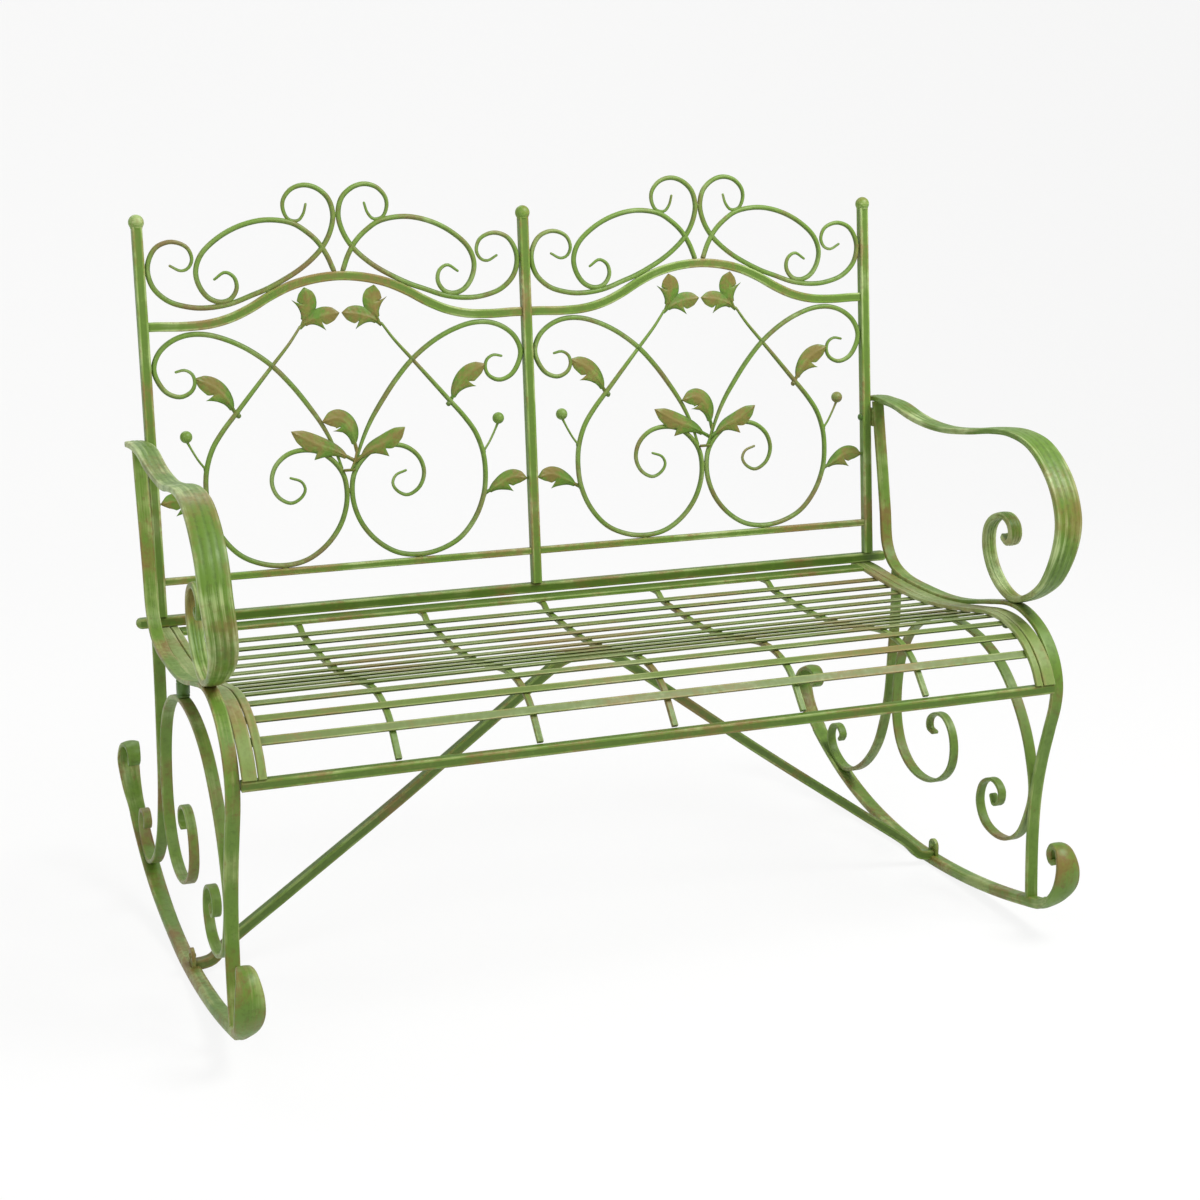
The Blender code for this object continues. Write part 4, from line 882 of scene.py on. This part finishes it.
# long bars: one bent blank, repeated across the seat
barTree, given = newTree("barsAcrossSeat", {"Bars": "Int", "Bar pitch": "Float", "Enamel": "Material"})
gaps = addNode(barTree, "ShaderNodeMath", {0: given["Bars"], 1: -1.0}, operation="ADD")
reach = addNode(barTree, "ShaderNodeMath", {0: gaps, 1: given["Bar pitch"]}, operation="MULTIPLY")
start = addNode(barTree, "ShaderNodeMath", {0: reach, 1: -0.5}, operation="MULTIPLY")
origin = addNode(barTree, "ShaderNodeCombineXYZ", {"X": start})
apart = addNode(barTree, "ShaderNodeCombineXYZ", {"X": given["Bar pitch"]})
row = addNode(barTree, "GeometryNodeMeshLine",
              {"Count": given["Bars"], "Start Location": origin, "Offset": apart})
bars = addNode(barTree, "GeometryNodeInstanceOnPoints", {"Points": row, "Instance": given["Geometry"]})
closeTree(barTree, bars, given["Enamel"])

barDrop = slatDrop + (slatLook["thickness"] + barLook["thickness"]) / 2 + slatLook["gap"]
rearHeight = along(seatLine, crossing(seatLine, rearForward))[0][1]
barRear = rearHeight - (strap + barLook["thickness"]) / 2 - weldGap
barPoints = [(rearForward - barLook["endFlat"], barRear), (rearForward + barLook["endFlat"], barRear),
             beside(seatLine, rearForward + rearWidth, -barDrop - weldGap)]
for step in range(2, 15):
    at = seatLength * (barLook["firstShare"] + barLook["shareStep"] * step)
    point, way = along(seatLine, at)
    if barLook["clearRear"] < point[0] and at < seatLength - barLook["clearFront"]:
        barPoints.append(point + np.array([way[1], -way[0]]) * barDrop)
barPoints.append((frontForward - frontBar / 3, frontTop + barLook["thickness"] / 3 + weldGap))
barBlank = sweptPiece(
    "barBlank", smoothLine(withWidth(barPoints, barLook["width"])),
    lambda point: strapSection(point[2], barLook["thickness"], corner=barLook["corner"]),
    lambda forward, height, out: Vector((out, middleForward - forward, height)),
    "shadedEnamel", None, None, "flat")
growPiece("seatBars", barBlank.data.copy(), barTree, {
    "Bars": barLook["count"], "Bar pitch": barLook["pitch"], "Enamel": enamels["shadedEnamel"]},
    [f"seat_bar_{k + 1}" for k in range(barLook["count"])], "green_paint")
bpy.data.objects.remove(barBlank)
print("long bars laid")


braceLook = {
    "width": 14 * mm, "thickness": 14 * mm, "corner": 2 * mm,
    "line": [(0, 390), (36, 384), (65, 365), (275, 212), (439, 97), (522, 38)],
    # inwards from the lug, and up from where the bar would touch the rocker
    "end": [(24, 6.1), (12, 2.6), (0, 2.1)],
}
lugAt = rockerLook["lugForward"]


def mirrored(half):
    # a line from the middle outwards, with its mirror image before it
    return [(-point[0], point[1]) for point in half[:0:-1]] + half


braceRise = (strap + braceLook["thickness"]) / 2 + weldGap
braceFoot = beside(rockerLine, lugAt - braceLook["width"] / 2, braceRise)[1]
braceEnd = sidePlane - rockerLook["lugThickness"] / 2 - weldGap
half = metres(braceLook["line"])
half += [(braceEnd - inwards * mm, braceFoot + up * mm) for inwards, up in braceLook["end"]]
braceSection = squareSection(braceLook["width"], braceLook["thickness"], braceLook["corner"])
sweptPiece("brace", smoothLine(withWidth(mirrored(half), braceLook["width"])), lambda point: braceSection,
           lambda across, height, out: Vector((across, middleForward - lugAt - out, height)),
           "shadedEnamel", ["brace"], "green_paint", "flat")
print("brace bent")


# three posts, each with a ball on a collar: (up from the ball's centre, radius)
postLook = {
    "corner": 2 * mm, "foot": -47.56 * mm, "top": 482 * mm, "ball": 10.5 * mm, "ballCentre": 488 * mm,
    "ballFrom": -0.62, "collar": [(-9, 0), (-9, 7.2), (-7.6, 8.4), (-6.4, 8.2)],
    "lowerRail": 10 * mm, "lowerCorner": 1.5 * mm,
    "railDepth": 7 * mm, "railHeight": 13 * mm, "railCorner": 1.8 * mm,
    "railLine": [(0, 408), (35, 405), (68, 397), (98, 384), (127, 368), (155, 356), (185, 349), (220, 347),
                 (255, 348)],
}
postSection = squareSection(bench["postBar"], bench["postBar"], postLook["corner"])
profile = metres(postLook["collar"]) + ballProfile(postLook["ball"], postLook["ballFrom"], 1.0, 16)
for index, name in enumerate(("Left", "Middle", "Right")):
    place = onBack((index - 1) * bench["postSpacing"] / 2, 1)
    shape = newShape()
    # the sweep runs up the panel: its first number is up, its second across
    addBar(shape, (postLook["foot"], 0), (postLook["top"], 0), postSection,
           lambda up, across, out: place(across, up, out))
    up = place(0, 1, 0) - place(0, 0, 0)
    addTurned(shape, profile, place(0, postLook["ballCentre"], 0), up, 32)
    addPiece("post" + name, shape, "panelEnamel", ["post_" + name.lower()], "green_paint")

bay = (bench["postSpacing"] / 2 - bench["postBar"]) / 2
bayEnd = bay - weldGap
lowerSection = squareSection(postLook["lowerRail"], postLook["lowerRail"], postLook["lowerCorner"])
crestSection = squareSection(postLook["railDepth"], postLook["railHeight"], postLook["railCorner"])
crestHalf = metres(postLook["railLine"])
crestHalf.append(np.array([bayEnd, crestHalf[-1][1]]))
crestLine = smoothLine(mirrored(crestHalf))
for side, hand in hands:
    place = onBack(hand * bench["postSpacing"] / 4, 1)
    shape = newShape()
    addBar(shape, (-bayEnd, 0), (bayEnd, 0), lowerSection, place)
    addPiece("backLowerRail" + side, shape, "panelEnamel", ["back_lower_rail_" + side.lower()], "green_paint")
    sweptPiece("crestRail" + side, crestLine, lambda point: crestSection, place,
               "panelEnamel", ["crest_rail_" + side.lower()], "green_paint", "flat")
print("back posts and rails stand")


# scrolls and vines are drawn for one half bay, then mirrored and repeated
rodLook = {
    "thick": 7.4 * mm, "tip": 3.6 * mm, "sides": 16,
    "crestSide": [(233, 429), (219, 422), (209, 425), (203, 437), (209, 453), (229, 461), (249, 455),
                  (260, 440), (263.5, 422), (257, 400), (238, 382), (211, 373), (187, 371), (155, 375),
                  (123, 386)],
    "crestTop": [(59, 416), (35, 434), (20, 450), (9, 470), (4.4, 492), (10, 514), (25, 528), (43, 533),
                 (61, 528), (73, 514), (74, 500), (67, 487), (54, 485), (46, 494), (42, 507)],
    "crestInner": [(7, 416.5), (15, 436), (27, 455), (43, 470), (63, 482), (99, 487), (135, 480),
                   (167, 464), (191, 442), (199, 420), (195, 400), (183, 384), (167, 378), (153, 382),
                   (144, 396), (147, 411), (159, 418), (174, 409)],
    "heartOuter": [(234, 286), (222, 288), (212, 282), (209, 270), (214, 259), (229, 252), (247, 258),
                   (259, 274), (263.5, 292), (256, 312), (239, 327), (217, 335), (191, 335), (163, 327),
                   (133, 312), (101, 288), (75, 260), (54, 232), (35, 203), (20, 172), (9, 140)],
    "heartInner": [(59, 340), (75, 318), (101, 288), (127, 258), (151, 230), (175, 202), (191, 178),
                   (201, 148), (203, 116), (199, 88), (185, 56), (160, 28), (127, 13), (95, 9.4),
                   (66, 15), (39, 32), (18, 57), (7, 84), (4.4, 108), (8, 130), (19, 148), (39, 164),
                   (63, 169), (87, 164), (105, 148), (111, 126), (103, 106), (85, 96), (70, 103),
                   (64, 114), (69, 125), (84, 131)],
    "budStem": [(201, 150), (210, 162), (218, 176), (225, 190)],
    "bud": (226, 197), "budRadius": 8.5 * mm, "budStemSize": 4 * mm, "endLength": 1.8 * mm,
}
leafLook = {
    "stations": 44, "columns": 7, "stalk": 2.6 * mm, "stalkTip": 0.25 * mm, "skin": 1.3 * mm, "edge": 1 * mm,
    "crown": 1.9 * mm, "rib": 0.9 * mm, "ribWidth": 0.16, "vein": 0.5 * mm, "veins": 8,
    "tipLift": 9.6 * mm, "full": 1.12,
    # where along the leaf the blade starts, the spur ends and the blade draws to its point
    "neck": 0.14, "spurTip": 0.5, "spurEnd": 0.55, "pointFrom": 0.84,
    # shares of the leaf's width: the spur at its foot, the notch behind it, the spur's hook forwards
    "spurFoot": 0.17, "notch": 0.22, "hook": 0.26,
    # midrib points, full width, lobes on the left and right of the midrib, how much bronze shows
    "half": [([(55, 341), (50, 356), (47, 374), (50, 394)], 25, 0.0, 0.62, 0.4),
             ([(59, 338), (46, 347), (26, 353), (1.5, 357)], 23, 0.62, 0.0, 0.65),
             ([(153, 221), (166, 243), (184, 262), (210, 276)], 24, 0.0, 0.62, 0.75),
             ([(199, 88), (222, 100), (246, 110), (267, 107)], 22, 0.0, 0.66, 0.6)],
    "sprig": [([(10, 149), (-15, 163), (-45, 175), (-81, 196)], 24, 0.6, 0.0, 0.7),
              ([(13, 162), (3, 196), (-12, 210), (-36, 207)], 25, 0.6, 0.0, 0.6),
              ([(9, 149), (33, 164), (56, 173), (84, 193)], 23, 0.0, 0.6, 0.6)],
    # the sprig stands on a clip in front of the vines, on a stem pressed flatter
    "front": 5.5 * mm, "clip": [(-8, 137), (8, 137)], "stem": [(3, 137), (9, 151), (13, 167)],
    "stemSizes": (4.5 * mm, 4 * mm, 3.5 * mm), "stemDepth": 0.7,
}


def halfWidths(share, width, leftLobe, rightLobe):
    # a narrow stalk, an oval blade widest past its middle, and a spur that hooks out of one side
    neck, spurTip, spurEnd = leafLook["neck"], leafLook["spurTip"], leafLook["spurEnd"]
    blade = 0.0
    if share > neck:
        grown = (share - neck) / (1 - neck)
        pointFrom = leafLook["pointFrom"]
        blade = width / 2 * math.sin(math.pi * min(grown, pointFrom) ** 1.1) ** 0.58
        blade *= max(1 - max(grown - pointFrom, 0) / (1 - pointFrom), 0.0) ** 0.9
    stalk = leafLook["stalk"] * (1 - share) + leafLook["stalkTip"]
    notch = width * leafLook["notch"]
    halves = []
    for lobe in (leftLobe, rightLobe):
        reach = max(stalk, blade)
        if lobe:
            grown = max(share - neck, 0) / (spurTip - neck)
            spur = width * (leafLook["spurFoot"] + lobe * grown ** 2.3) if share > neck else 0.0
            if share < spurTip:
                reach = max(stalk, spur)
            elif share < spurEnd:
                reach = notch + (spur - notch) * (spurEnd - share) / (spurEnd - spurTip)
            else:
                reach = notch + (blade - notch) * min((share - spurEnd) / 0.1, 1) ** 0.6
        halves.append(reach)
    return halves


def addLeaf(shape, leaf, place, front=0.0):
    # two skins of a cast leaf, joined by a rim
    midrib, width, leftLobe, rightLobe, bronze = leaf
    neck, spurTip, spurEnd = leafLook["neck"], leafLook["spurTip"], leafLook["spurEnd"]
    line = smoothLine(metres(midrib), 1.5 * mm)
    total = distances(line)[-1]
    columns = leafLook["columns"]
    skins = []
    for skin in (1, -1):
        grid = []
        for step in range(leafLook["stations"] + 1):
            share = step / leafLook["stations"]
            point, way = along(line, total * min(share, 0.999))
            normal = np.array([-way[1], way[0]])
            left, right = halfWidths(share, width * mm * leafLook["full"], leftLobe, rightLobe)
            full = min(1.0, (left + right) / (width * mm * 0.5))
            # the spur's tip hooks forwards, and the leaf's own tip lifts
            hook = 0.0
            if neck < share < spurEnd:
                hook = ((share - neck) / (spurTip - neck)) ** 2
                if share >= spurTip:
                    hook = (spurEnd - share) / (spurEnd - spurTip)
            tipLift = leafLook["tipLift"] * max(share - spurEnd, 0) ** 2
            shown = 0.25 + bronze * ease((share - 0.3) / 0.5)
            row = []
            for column in range(-columns, columns + 1):
                t = column / columns
                aside = t * (left if t > 0 else right)
                spot = point + normal * aside
                if leftLobe if t > 0 else rightLobe:
                    spot = spot + way * width * mm * leafLook["hook"] * hook * t * t
                domed = 1 - t * t
                crown = leafLook["crown"] * full * domed
                rib = leafLook["rib"] * math.exp(-(t / leafLook["ribWidth"]) ** 2)
                wave = math.cos((share * leafLook["veins"] - abs(t) * 1.5) * 2 * math.pi)
                vein = leafLook["vein"] * full * wave * abs(t) * domed
                lift = crown + rib + vein - leafLook["crown"] * 0.5 + tipLift
                if skin < 0:
                    lift -= leafLook["skin"] * (0.35 + 0.65 * domed) + leafLook["edge"]
                # raised veins and midrib are rubbed more, partly as painted highlight, and the rim less, so
                # it takes more painted shade
                wearAndLightValue = shown - 0.35 * abs(t) ** 5 + 0.25 * (vein + rib) / mm
                spot = place(spot[0], spot[1], front + lift)
                row.append(addVert(shape, spot, wearAndLightValue, (total * share, aside, lift)))
            grid.append(row)
        for first, second in zip(grid, grid[1:]):
            for k in range(2 * columns):
                shape.faces.new((first[k], first[k + 1], second[k + 1], second[k]))
        skins.append(grid)
    joinRings(shape, [
        [row[0] for row in grid] + grid[-1][1:] + [row[-1] for row in grid[-2::-1]] + grid[0][-2:0:-1]
        for grid in skins])


thick, tip = rodLook["thick"], rodLook["tip"]
crestRest = beside(crestHalf, 96 * mm, (postLook["railHeight"] + thick) / 2 + weldGap)
crestPoints = metres(rodLook["crestSide"]) + [crestRest] + metres(rodLook["crestTop"])
crestOuter = settle(rodLine(crestPoints, tip, thick, tip), 0, weldGap / 2, bayEnd)
crestInner = rodLine(metres(rodLook["crestInner"]), thick, thick, tip)
heartOuter = settle(rodLine(metres(rodLook["heartOuter"]), tip, thick, tip), 0, high=bayEnd)
heartInner = settle(rodLine(metres(rodLook["heartInner"]), tip, thick, tip), 0, low=weldGap / 2)
heartInner = settle(heartInner, 1, low=postLook["lowerRail"] / 2 + weldGap)
stemSize = rodLook["budStemSize"]
budStem = rodLine(metres(rodLook["budStem"]), stemSize, stemSize * 0.8, stemSize)
sprigStem = rodLine(metres(leafLook["stem"]), *leafLook["stemSizes"])
clipStart, clipEnd = metres(leafLook["clip"])


def rodSection(point):
    return roundSection(point[2] / 2, rodLook["sides"])


for bayName, bayHand in hands:
    for halfName, hand in (("Outer", bayHand), ("Inner", -bayHand)):
        place = onBack(bayHand * bench["postSpacing"] / 4, hand)
        name, node = bayName + halfName, bayName.lower() + "_" + halfName.lower()

        shape = newShape()
        for rod in (crestOuter, crestInner):
            sweep(shape, rod, rodSection, place, endLength=rodLook["endLength"])
        addPiece("crestScroll" + name, shape, "rodEnamel", ["crest_scroll_" + node], "leaf_paint")

        shape = newShape()
        for rod in (heartOuter, heartInner, budStem):
            sweep(shape, rod, rodSection, place, endLength=rodLook["endLength"])
        budAt = place(rodLook["bud"][0] * mm, rodLook["bud"][1] * mm, 0)
        up = place(0, 1, 0) - place(0, 0, 0)
        addTurned(shape, ballProfile(rodLook["budRadius"], -1, 1, 18), budAt, up, 28, 0.5)
        addPiece("vine" + name, shape, "rodEnamel", ["vine_" + node], "leaf_paint")

        shape = newShape()
        for leaf in leafLook["half"]:
            addLeaf(shape, leaf, place)
        addPiece("vineLeaves" + name, shape, "leafEnamel", None, "leaf_paint", 60)

    place = onBack(bayHand * bench["postSpacing"] / 4, 1)
    front = leafLook["front"]
    shape = newShape()
    for leaf in leafLook["sprig"]:
        addLeaf(shape, leaf, place, front)
    addBar(shape, clipStart, clipEnd, squareSection(3 * mm, 4 * mm, 1 * mm),
           lambda a, b, out: place(a, b, front + out))
    sweep(shape, sprigStem, rodSection, lambda a, b, out: place(a, b, front + out * leafLook["stemDepth"]),
          endLength=1.5 * mm)
    addPiece("sprig" + bayName, shape, "leafEnamel", ["sprig_" + bayName.lower()], "leaf_paint", 60)
print("scrolls, vines and sprigs drawn")


boltLook = {
    "head": 5.5 * mm, "height": 5 * mm, "shank": 3 * mm, "tail": 4 * mm,
    "seatNut": 7 * mm, "seatNutRise": 1 * mm,
    "dome": [(0, 0), (0, 5.5), (1.4, 5.5), (2.8, 4.9), (4.1, 3.4), (4.8, 1.6), (5, 0)],  # along and radius
}


def addNut(shape, centre, axis, height):
    radius = boltLook["head"]
    addTurned(shape, drumProfile(0, height, radius, radius * 0.8, height * 0.16), centre, axis, 6, 0.7)


shank = boltLook["shank"]
for side, hand in hands:
    lower = side.lower()
    low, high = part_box("arm_bolt_" + lower)
    y, z = (low[1] + high[1]) / 2, (low[2] + high[2]) / 2
    inner, outer = sorted((abs(low[0]), abs(high[0])))
    reach = outer - inner - boltLook["height"]
    shape = newShape()
    head = Vector((hand * (inner + boltLook["height"]), y, z))
    addTurned(shape, metres(boltLook["dome"]), head, (-hand, 0, 0), 24, 0.6)
    addTurned(shape, [(0, 0), (0, shank), (reach - 0.6 * mm, shank), (reach, shank * 0.8), (reach, 0)],
              head, (hand, 0, 0), 20, 0.4)
    nutAt = Vector((hand * (outer - boltLook["tail"] - boltLook["height"]), y, z))
    addNut(shape, nutAt, (hand, 0, 0), boltLook["height"])
    addPiece("armBolt" + side, shape, "boltEnamel", ["arm_bolt_" + lower], "dark_paint", 35)

    low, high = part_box("seat_bolt_" + lower)
    centre = Vector(((low[0] + high[0]) / 2, (low[1] + high[1]) / 2, low[2]))
    tall = high[2] - low[2]
    shape = newShape()
    addTurned(shape, [(0, 0), (0, shank * 0.8), (0.6 * mm, shank), (tall - 0.5 * mm, shank), (tall, 2.5 * mm),
                      (tall, 0)], centre, (0, 0, 1), 20, 0.4)
    addNut(shape, centre + Vector((0, 0, boltLook["seatNutRise"])), (0, 0, 1), boltLook["seatNut"])
    addPiece("seatBolt" + side, shape, "boltEnamel", ["seat_bolt_" + lower], "dark_paint", 35)
print("bolts set")


# weld beads: half sizes in mm, and places on the back across the half bay and up the panel
weldLook = {
    "seed": 7, "uneven": 2 * mm,
    "spacer": (8, 8.4, 1.6), "post": (1.8, 2.2, 4.2), "lower": (5, 2.4, 1.8), "crest": (6, 2.4, 1.8),
    "rods": [((101, 288), (4.2, 4.2, 4.2)), ((200, 88), (3.4, 3.2, 4)), ((202, 150), (3, 3, 3.6)),
             ((152, 222), (3.6, 3.4, 4)), ((7, 416), (4, 2.4, 2.2)), ((bay / mm, 107), (1.6, 2, 3)),
             ((0, 108), (1.6, 2.2, 3.6)), ((0, 492), (1.6, 2.2, 3.6))],
    "slat": (1.2, 3.2, 1.1), "slatApart": 4.2 * mm, "slatSunk": 0.5 * mm,
}
weldTree, given = newTree("weldBeads", {"Seed": "Int", "Unevenness": "Float", "Enamel": "Material"})
bead = addNode(weldTree, "GeometryNodeMeshIcoSphere", {"Radius": 1.0, "Subdivisions": 3})
size = addNode(weldTree, "GeometryNodeInputNamedAttribute", {"Name": "size"}, data_type="FLOAT_VECTOR")
spin = addNode(weldTree, "FunctionNodeRandomValue",
               {"Min": (-0.3, -0.3, -0.3), "Max": (0.3, 0.3, 0.3), "Seed": given["Seed"]},
               data_type="FLOAT_VECTOR")
beads = addNode(weldTree, "GeometryNodeInstanceOnPoints",
                {"Points": given["Geometry"], "Instance": bead, "Rotation": spin, "Scale": size})
loose = addNode(weldTree, "GeometryNodeRealizeInstances", {"Geometry": beads})
lumps = addNode(weldTree, "ShaderNodeTexNoise", {"Scale": 300.0, "Detail": 1.0}, "Color")
centred = addNode(weldTree, "ShaderNodeVectorMath", {0: lumps, 1: (0.5, 0.5, 0.5)}, operation="SUBTRACT")
pushed = addNode(weldTree, "ShaderNodeVectorMath", {0: centred, "Scale": given["Unevenness"]},
                 operation="SCALE")
uneven = addNode(weldTree, "GeometryNodeSetPosition", {"Geometry": loose, "Offset": pushed})
closeTree(weldTree, uneven, given["Enamel"])


def growBeads(name, welds, slot):
    # one bead for each (place, half sizes in mm)
    mesh = bpy.data.meshes.new(name)
    mesh.from_pydata([tuple(spot) for spot, _ in welds], [], [])
    sizes = mesh.attributes.new("size", "FLOAT_VECTOR", "POINT")
    sizes.data.foreach_set("vector", [value * mm for _, size in welds for value in size])
    growPiece(name, mesh, weldTree, {
        "Seed": weldLook["seed"], "Unevenness": weldLook["uneven"], "Enamel": enamels["rodEnamel"]},
        None, slot, 180)


sideWelds = []
for side, hand in hands:
    place = onSide(hand)
    for point, size in (
            (beside(legLine, armLook["foot"][0] * mm, strap / 2), (8, 9, 2.2)),
            (beside(legLine, archLook["rest"][1] * mm, -strap / 2, axis=1), (7, 2.2, 10)),
            (beside(rockerLine, rearLegLook["foot"][0] * mm, strap / 2), (7, 9, 2.4)),
            (beside(rockerLine, footForward, strap / 2), (8.5, 5, 2.6)),
            (beside(legLine, rearLegLook["top"], -strap / 2), (7, 5, 2.4)),
            (beside(rockerLine, lugAt, strap / 2), (3.6, 9, 2.0))):
        sideWelds.append((place(point[0], point[1], 0), size))
    low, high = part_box("spacer_" + side.lower())
    for z in (low[2], high[2]):
        sideWelds.append((((low[0] + high[0]) / 2, (low[1] + high[1]) / 2, z), weldLook["spacer"]))
growBeads("sideFrameWelds", sideWelds, "green_paint")

panelWelds = [((bay, max(rod, key=lambda point: point[0])[1]), weldLook["post"])
              for rod in (crestOuter, heartOuter)]
lowest = min(heartInner, key=lambda point: point[1])
panelWelds += [((lowest[0], postLook["lowerRail"] / 2), weldLook["lower"]),
               ((crestRest[0] + 1.5 * mm, crestRest[1] - 4 * mm), weldLook["crest"])]
panelWelds += [((across * mm, up * mm), size) for (across, up), size in weldLook["rods"]]
backWelds = []
for bayHand in (-1, 1):
    for hand in (-1, 1):
        place = onBack(bayHand * bench["postSpacing"] / 4, hand)
        backWelds += [(place(across, up, 0), size) for (across, up), size in panelWelds]
growBeads("backPanelWelds", backWelds, "leaf_paint")

seatWelds = []
for slat in range(slatLook["count"]):
    point, way = along(seatLine, firstSlat + slatPitch * slat)
    down = point + np.array([way[1], -way[0]]) * (slatDrop + slatLook["thickness"] / 2)
    for bar in range(barLook["count"]):
        across = (bar - (barLook["count"] - 1) / 2) * barLook["pitch"]
        for shift in (-weldLook["slatApart"], weldLook["slatApart"]):
            spot = Vector((across + shift, middleForward - down[0], down[1] - weldLook["slatSunk"]))
            seatWelds.append((spot, weldLook["slat"]))
growBeads("slatWelds", seatWelds, "green_paint")
print("weld beads laid:", len(sideWelds) + len(backWelds) + len(seatWelds))


# white paper sweep, three softboxes and the photograph's camera
stageLook = {
    "paper": "#e8e8e6", "whiteShare": 0.86, "sky": 0.4, "key": 112, "side": 34, "rear": 26,
    "halfWidth": 12.0, "front": -9.0, "bendFrom": 2.2, "bend": 2.2, "height": 9.0, "below": 0.2 * mm,
}
bendFrom, bend = stageLook["bendFrom"], stageLook["bend"]
profile = [(stageLook["front"], 0.0), (0.0, 0.0), (bendFrom, 0.0)]
profile += [(bendFrom + bend * math.sin(turn), bend * (1 - math.cos(turn)))
            for turn in np.linspace(0.13, math.pi / 2, 12)]
profile.append((bendFrom + bend, stageLook["height"]))
shape = bmesh.new()
rows = [[shape.verts.new((hand * stageLook["halfWidth"], y, z - stageLook["below"])) for hand in (-1, 1)]
        for y, z in profile]
for first, second in zip(rows, rows[1:]):
    shape.faces.new((first[0], first[1], second[1], second[0]))
floorMesh = bpy.data.meshes.new("studioFloor")
shape.to_mesh(floorMesh)
shape.free()
floorMesh.shade_smooth()
floor = link(bpy.data.objects.new("studioFloor", floorMesh))

# matt paper that looks white to the camera, and keeps a faint shadow
paper = bpy.data.materials.new("mattStudioPaper")
paper.use_nodes = True
tree = paper.node_tree
shader = tree.nodes["Principled BSDF"]
shader.inputs["Base Color"].default_value = linear(stageLook["paper"])
shader.inputs["Roughness"].default_value = 0.9
rays = addNode(tree, "ShaderNodeLightPath").node.outputs
seen = addNode(tree, "ShaderNodeMath", {0: rays["Is Camera Ray"], 1: rays["Is Glossy Ray"]},
               operation="MAXIMUM")
share = addNode(tree, "ShaderNodeMath", {0: seen, 1: stageLook["whiteShare"]}, operation="MULTIPLY")
white = addNode(tree, "ShaderNodeEmission", {"Color": (1.0, 1.0, 1.0, 1.0), "Strength": 1.0})
mixed = addNode(tree, "ShaderNodeMixShader", {0: share, 1: shader.outputs[0], 2: white})
tree.links.new(mixed, tree.nodes["Material Output"].inputs["Surface"])
floorMesh.materials.append(paper)

world = bpy.data.worlds.new("studioSky")
bpy.context.scene.world = world
world.use_nodes = True
tree = world.node_tree
sky = tree.nodes["Background"]
sky.inputs["Color"].default_value = (1.0, 1.0, 1.0, 1.0)
seen = addNode(tree, "ShaderNodeLightPath", None, "Is Camera Ray")
strength = addNode(tree, "ShaderNodeMapRange", {"Value": seen, "To Min": stageLook["sky"], "To Max": 1.0})
tree.links.new(strength, sky.inputs["Strength"])


def addSoftbox(name, spot, size, power):
    lamp = bpy.data.lights.new(name, "AREA")
    lamp.shape = "RECTANGLE"
    lamp.size, lamp.size_y = size
    lamp.energy = power
    box = link(bpy.data.objects.new(name, lamp))
    box.location = spot
    box.rotation_euler = (Vector((0, 0, 0.5)) - Vector(spot)).to_track_quat("-Z", "Y").to_euler()


addSoftbox("keySoftbox", (1.3, -1.5, 3.1), (1.6, 1.2), stageLook["key"])
addSoftbox("sideSoftbox", (-2.6, -1.9, 1.9), (1.6, 1.6), stageLook["side"])
addSoftbox("rearSoftbox", (-0.6, 2.0, 2.8), (2.2, 1.2), stageLook["rear"])

cameraLook = {"lens": 65.02, "spot": (-1.0675, -2.9168, 1.1796), "pitch": 13.772, "yaw": 21.853}
camera = bpy.data.cameras.new("viewCamera")
camera.lens = cameraLook["lens"]
camera.sensor_width = 36
viewer = link(bpy.data.objects.new("viewCamera", camera))
x, y, z = cameraLook["spot"]
viewer.location = (x, y + middleForward, z)
viewer.rotation_euler = (math.radians(90 - cameraLook["pitch"]), 0, math.radians(-cameraLook["yaw"]))
bpy.context.scene.camera = viewer
bpy.context.scene.view_settings.view_transform = "Standard"
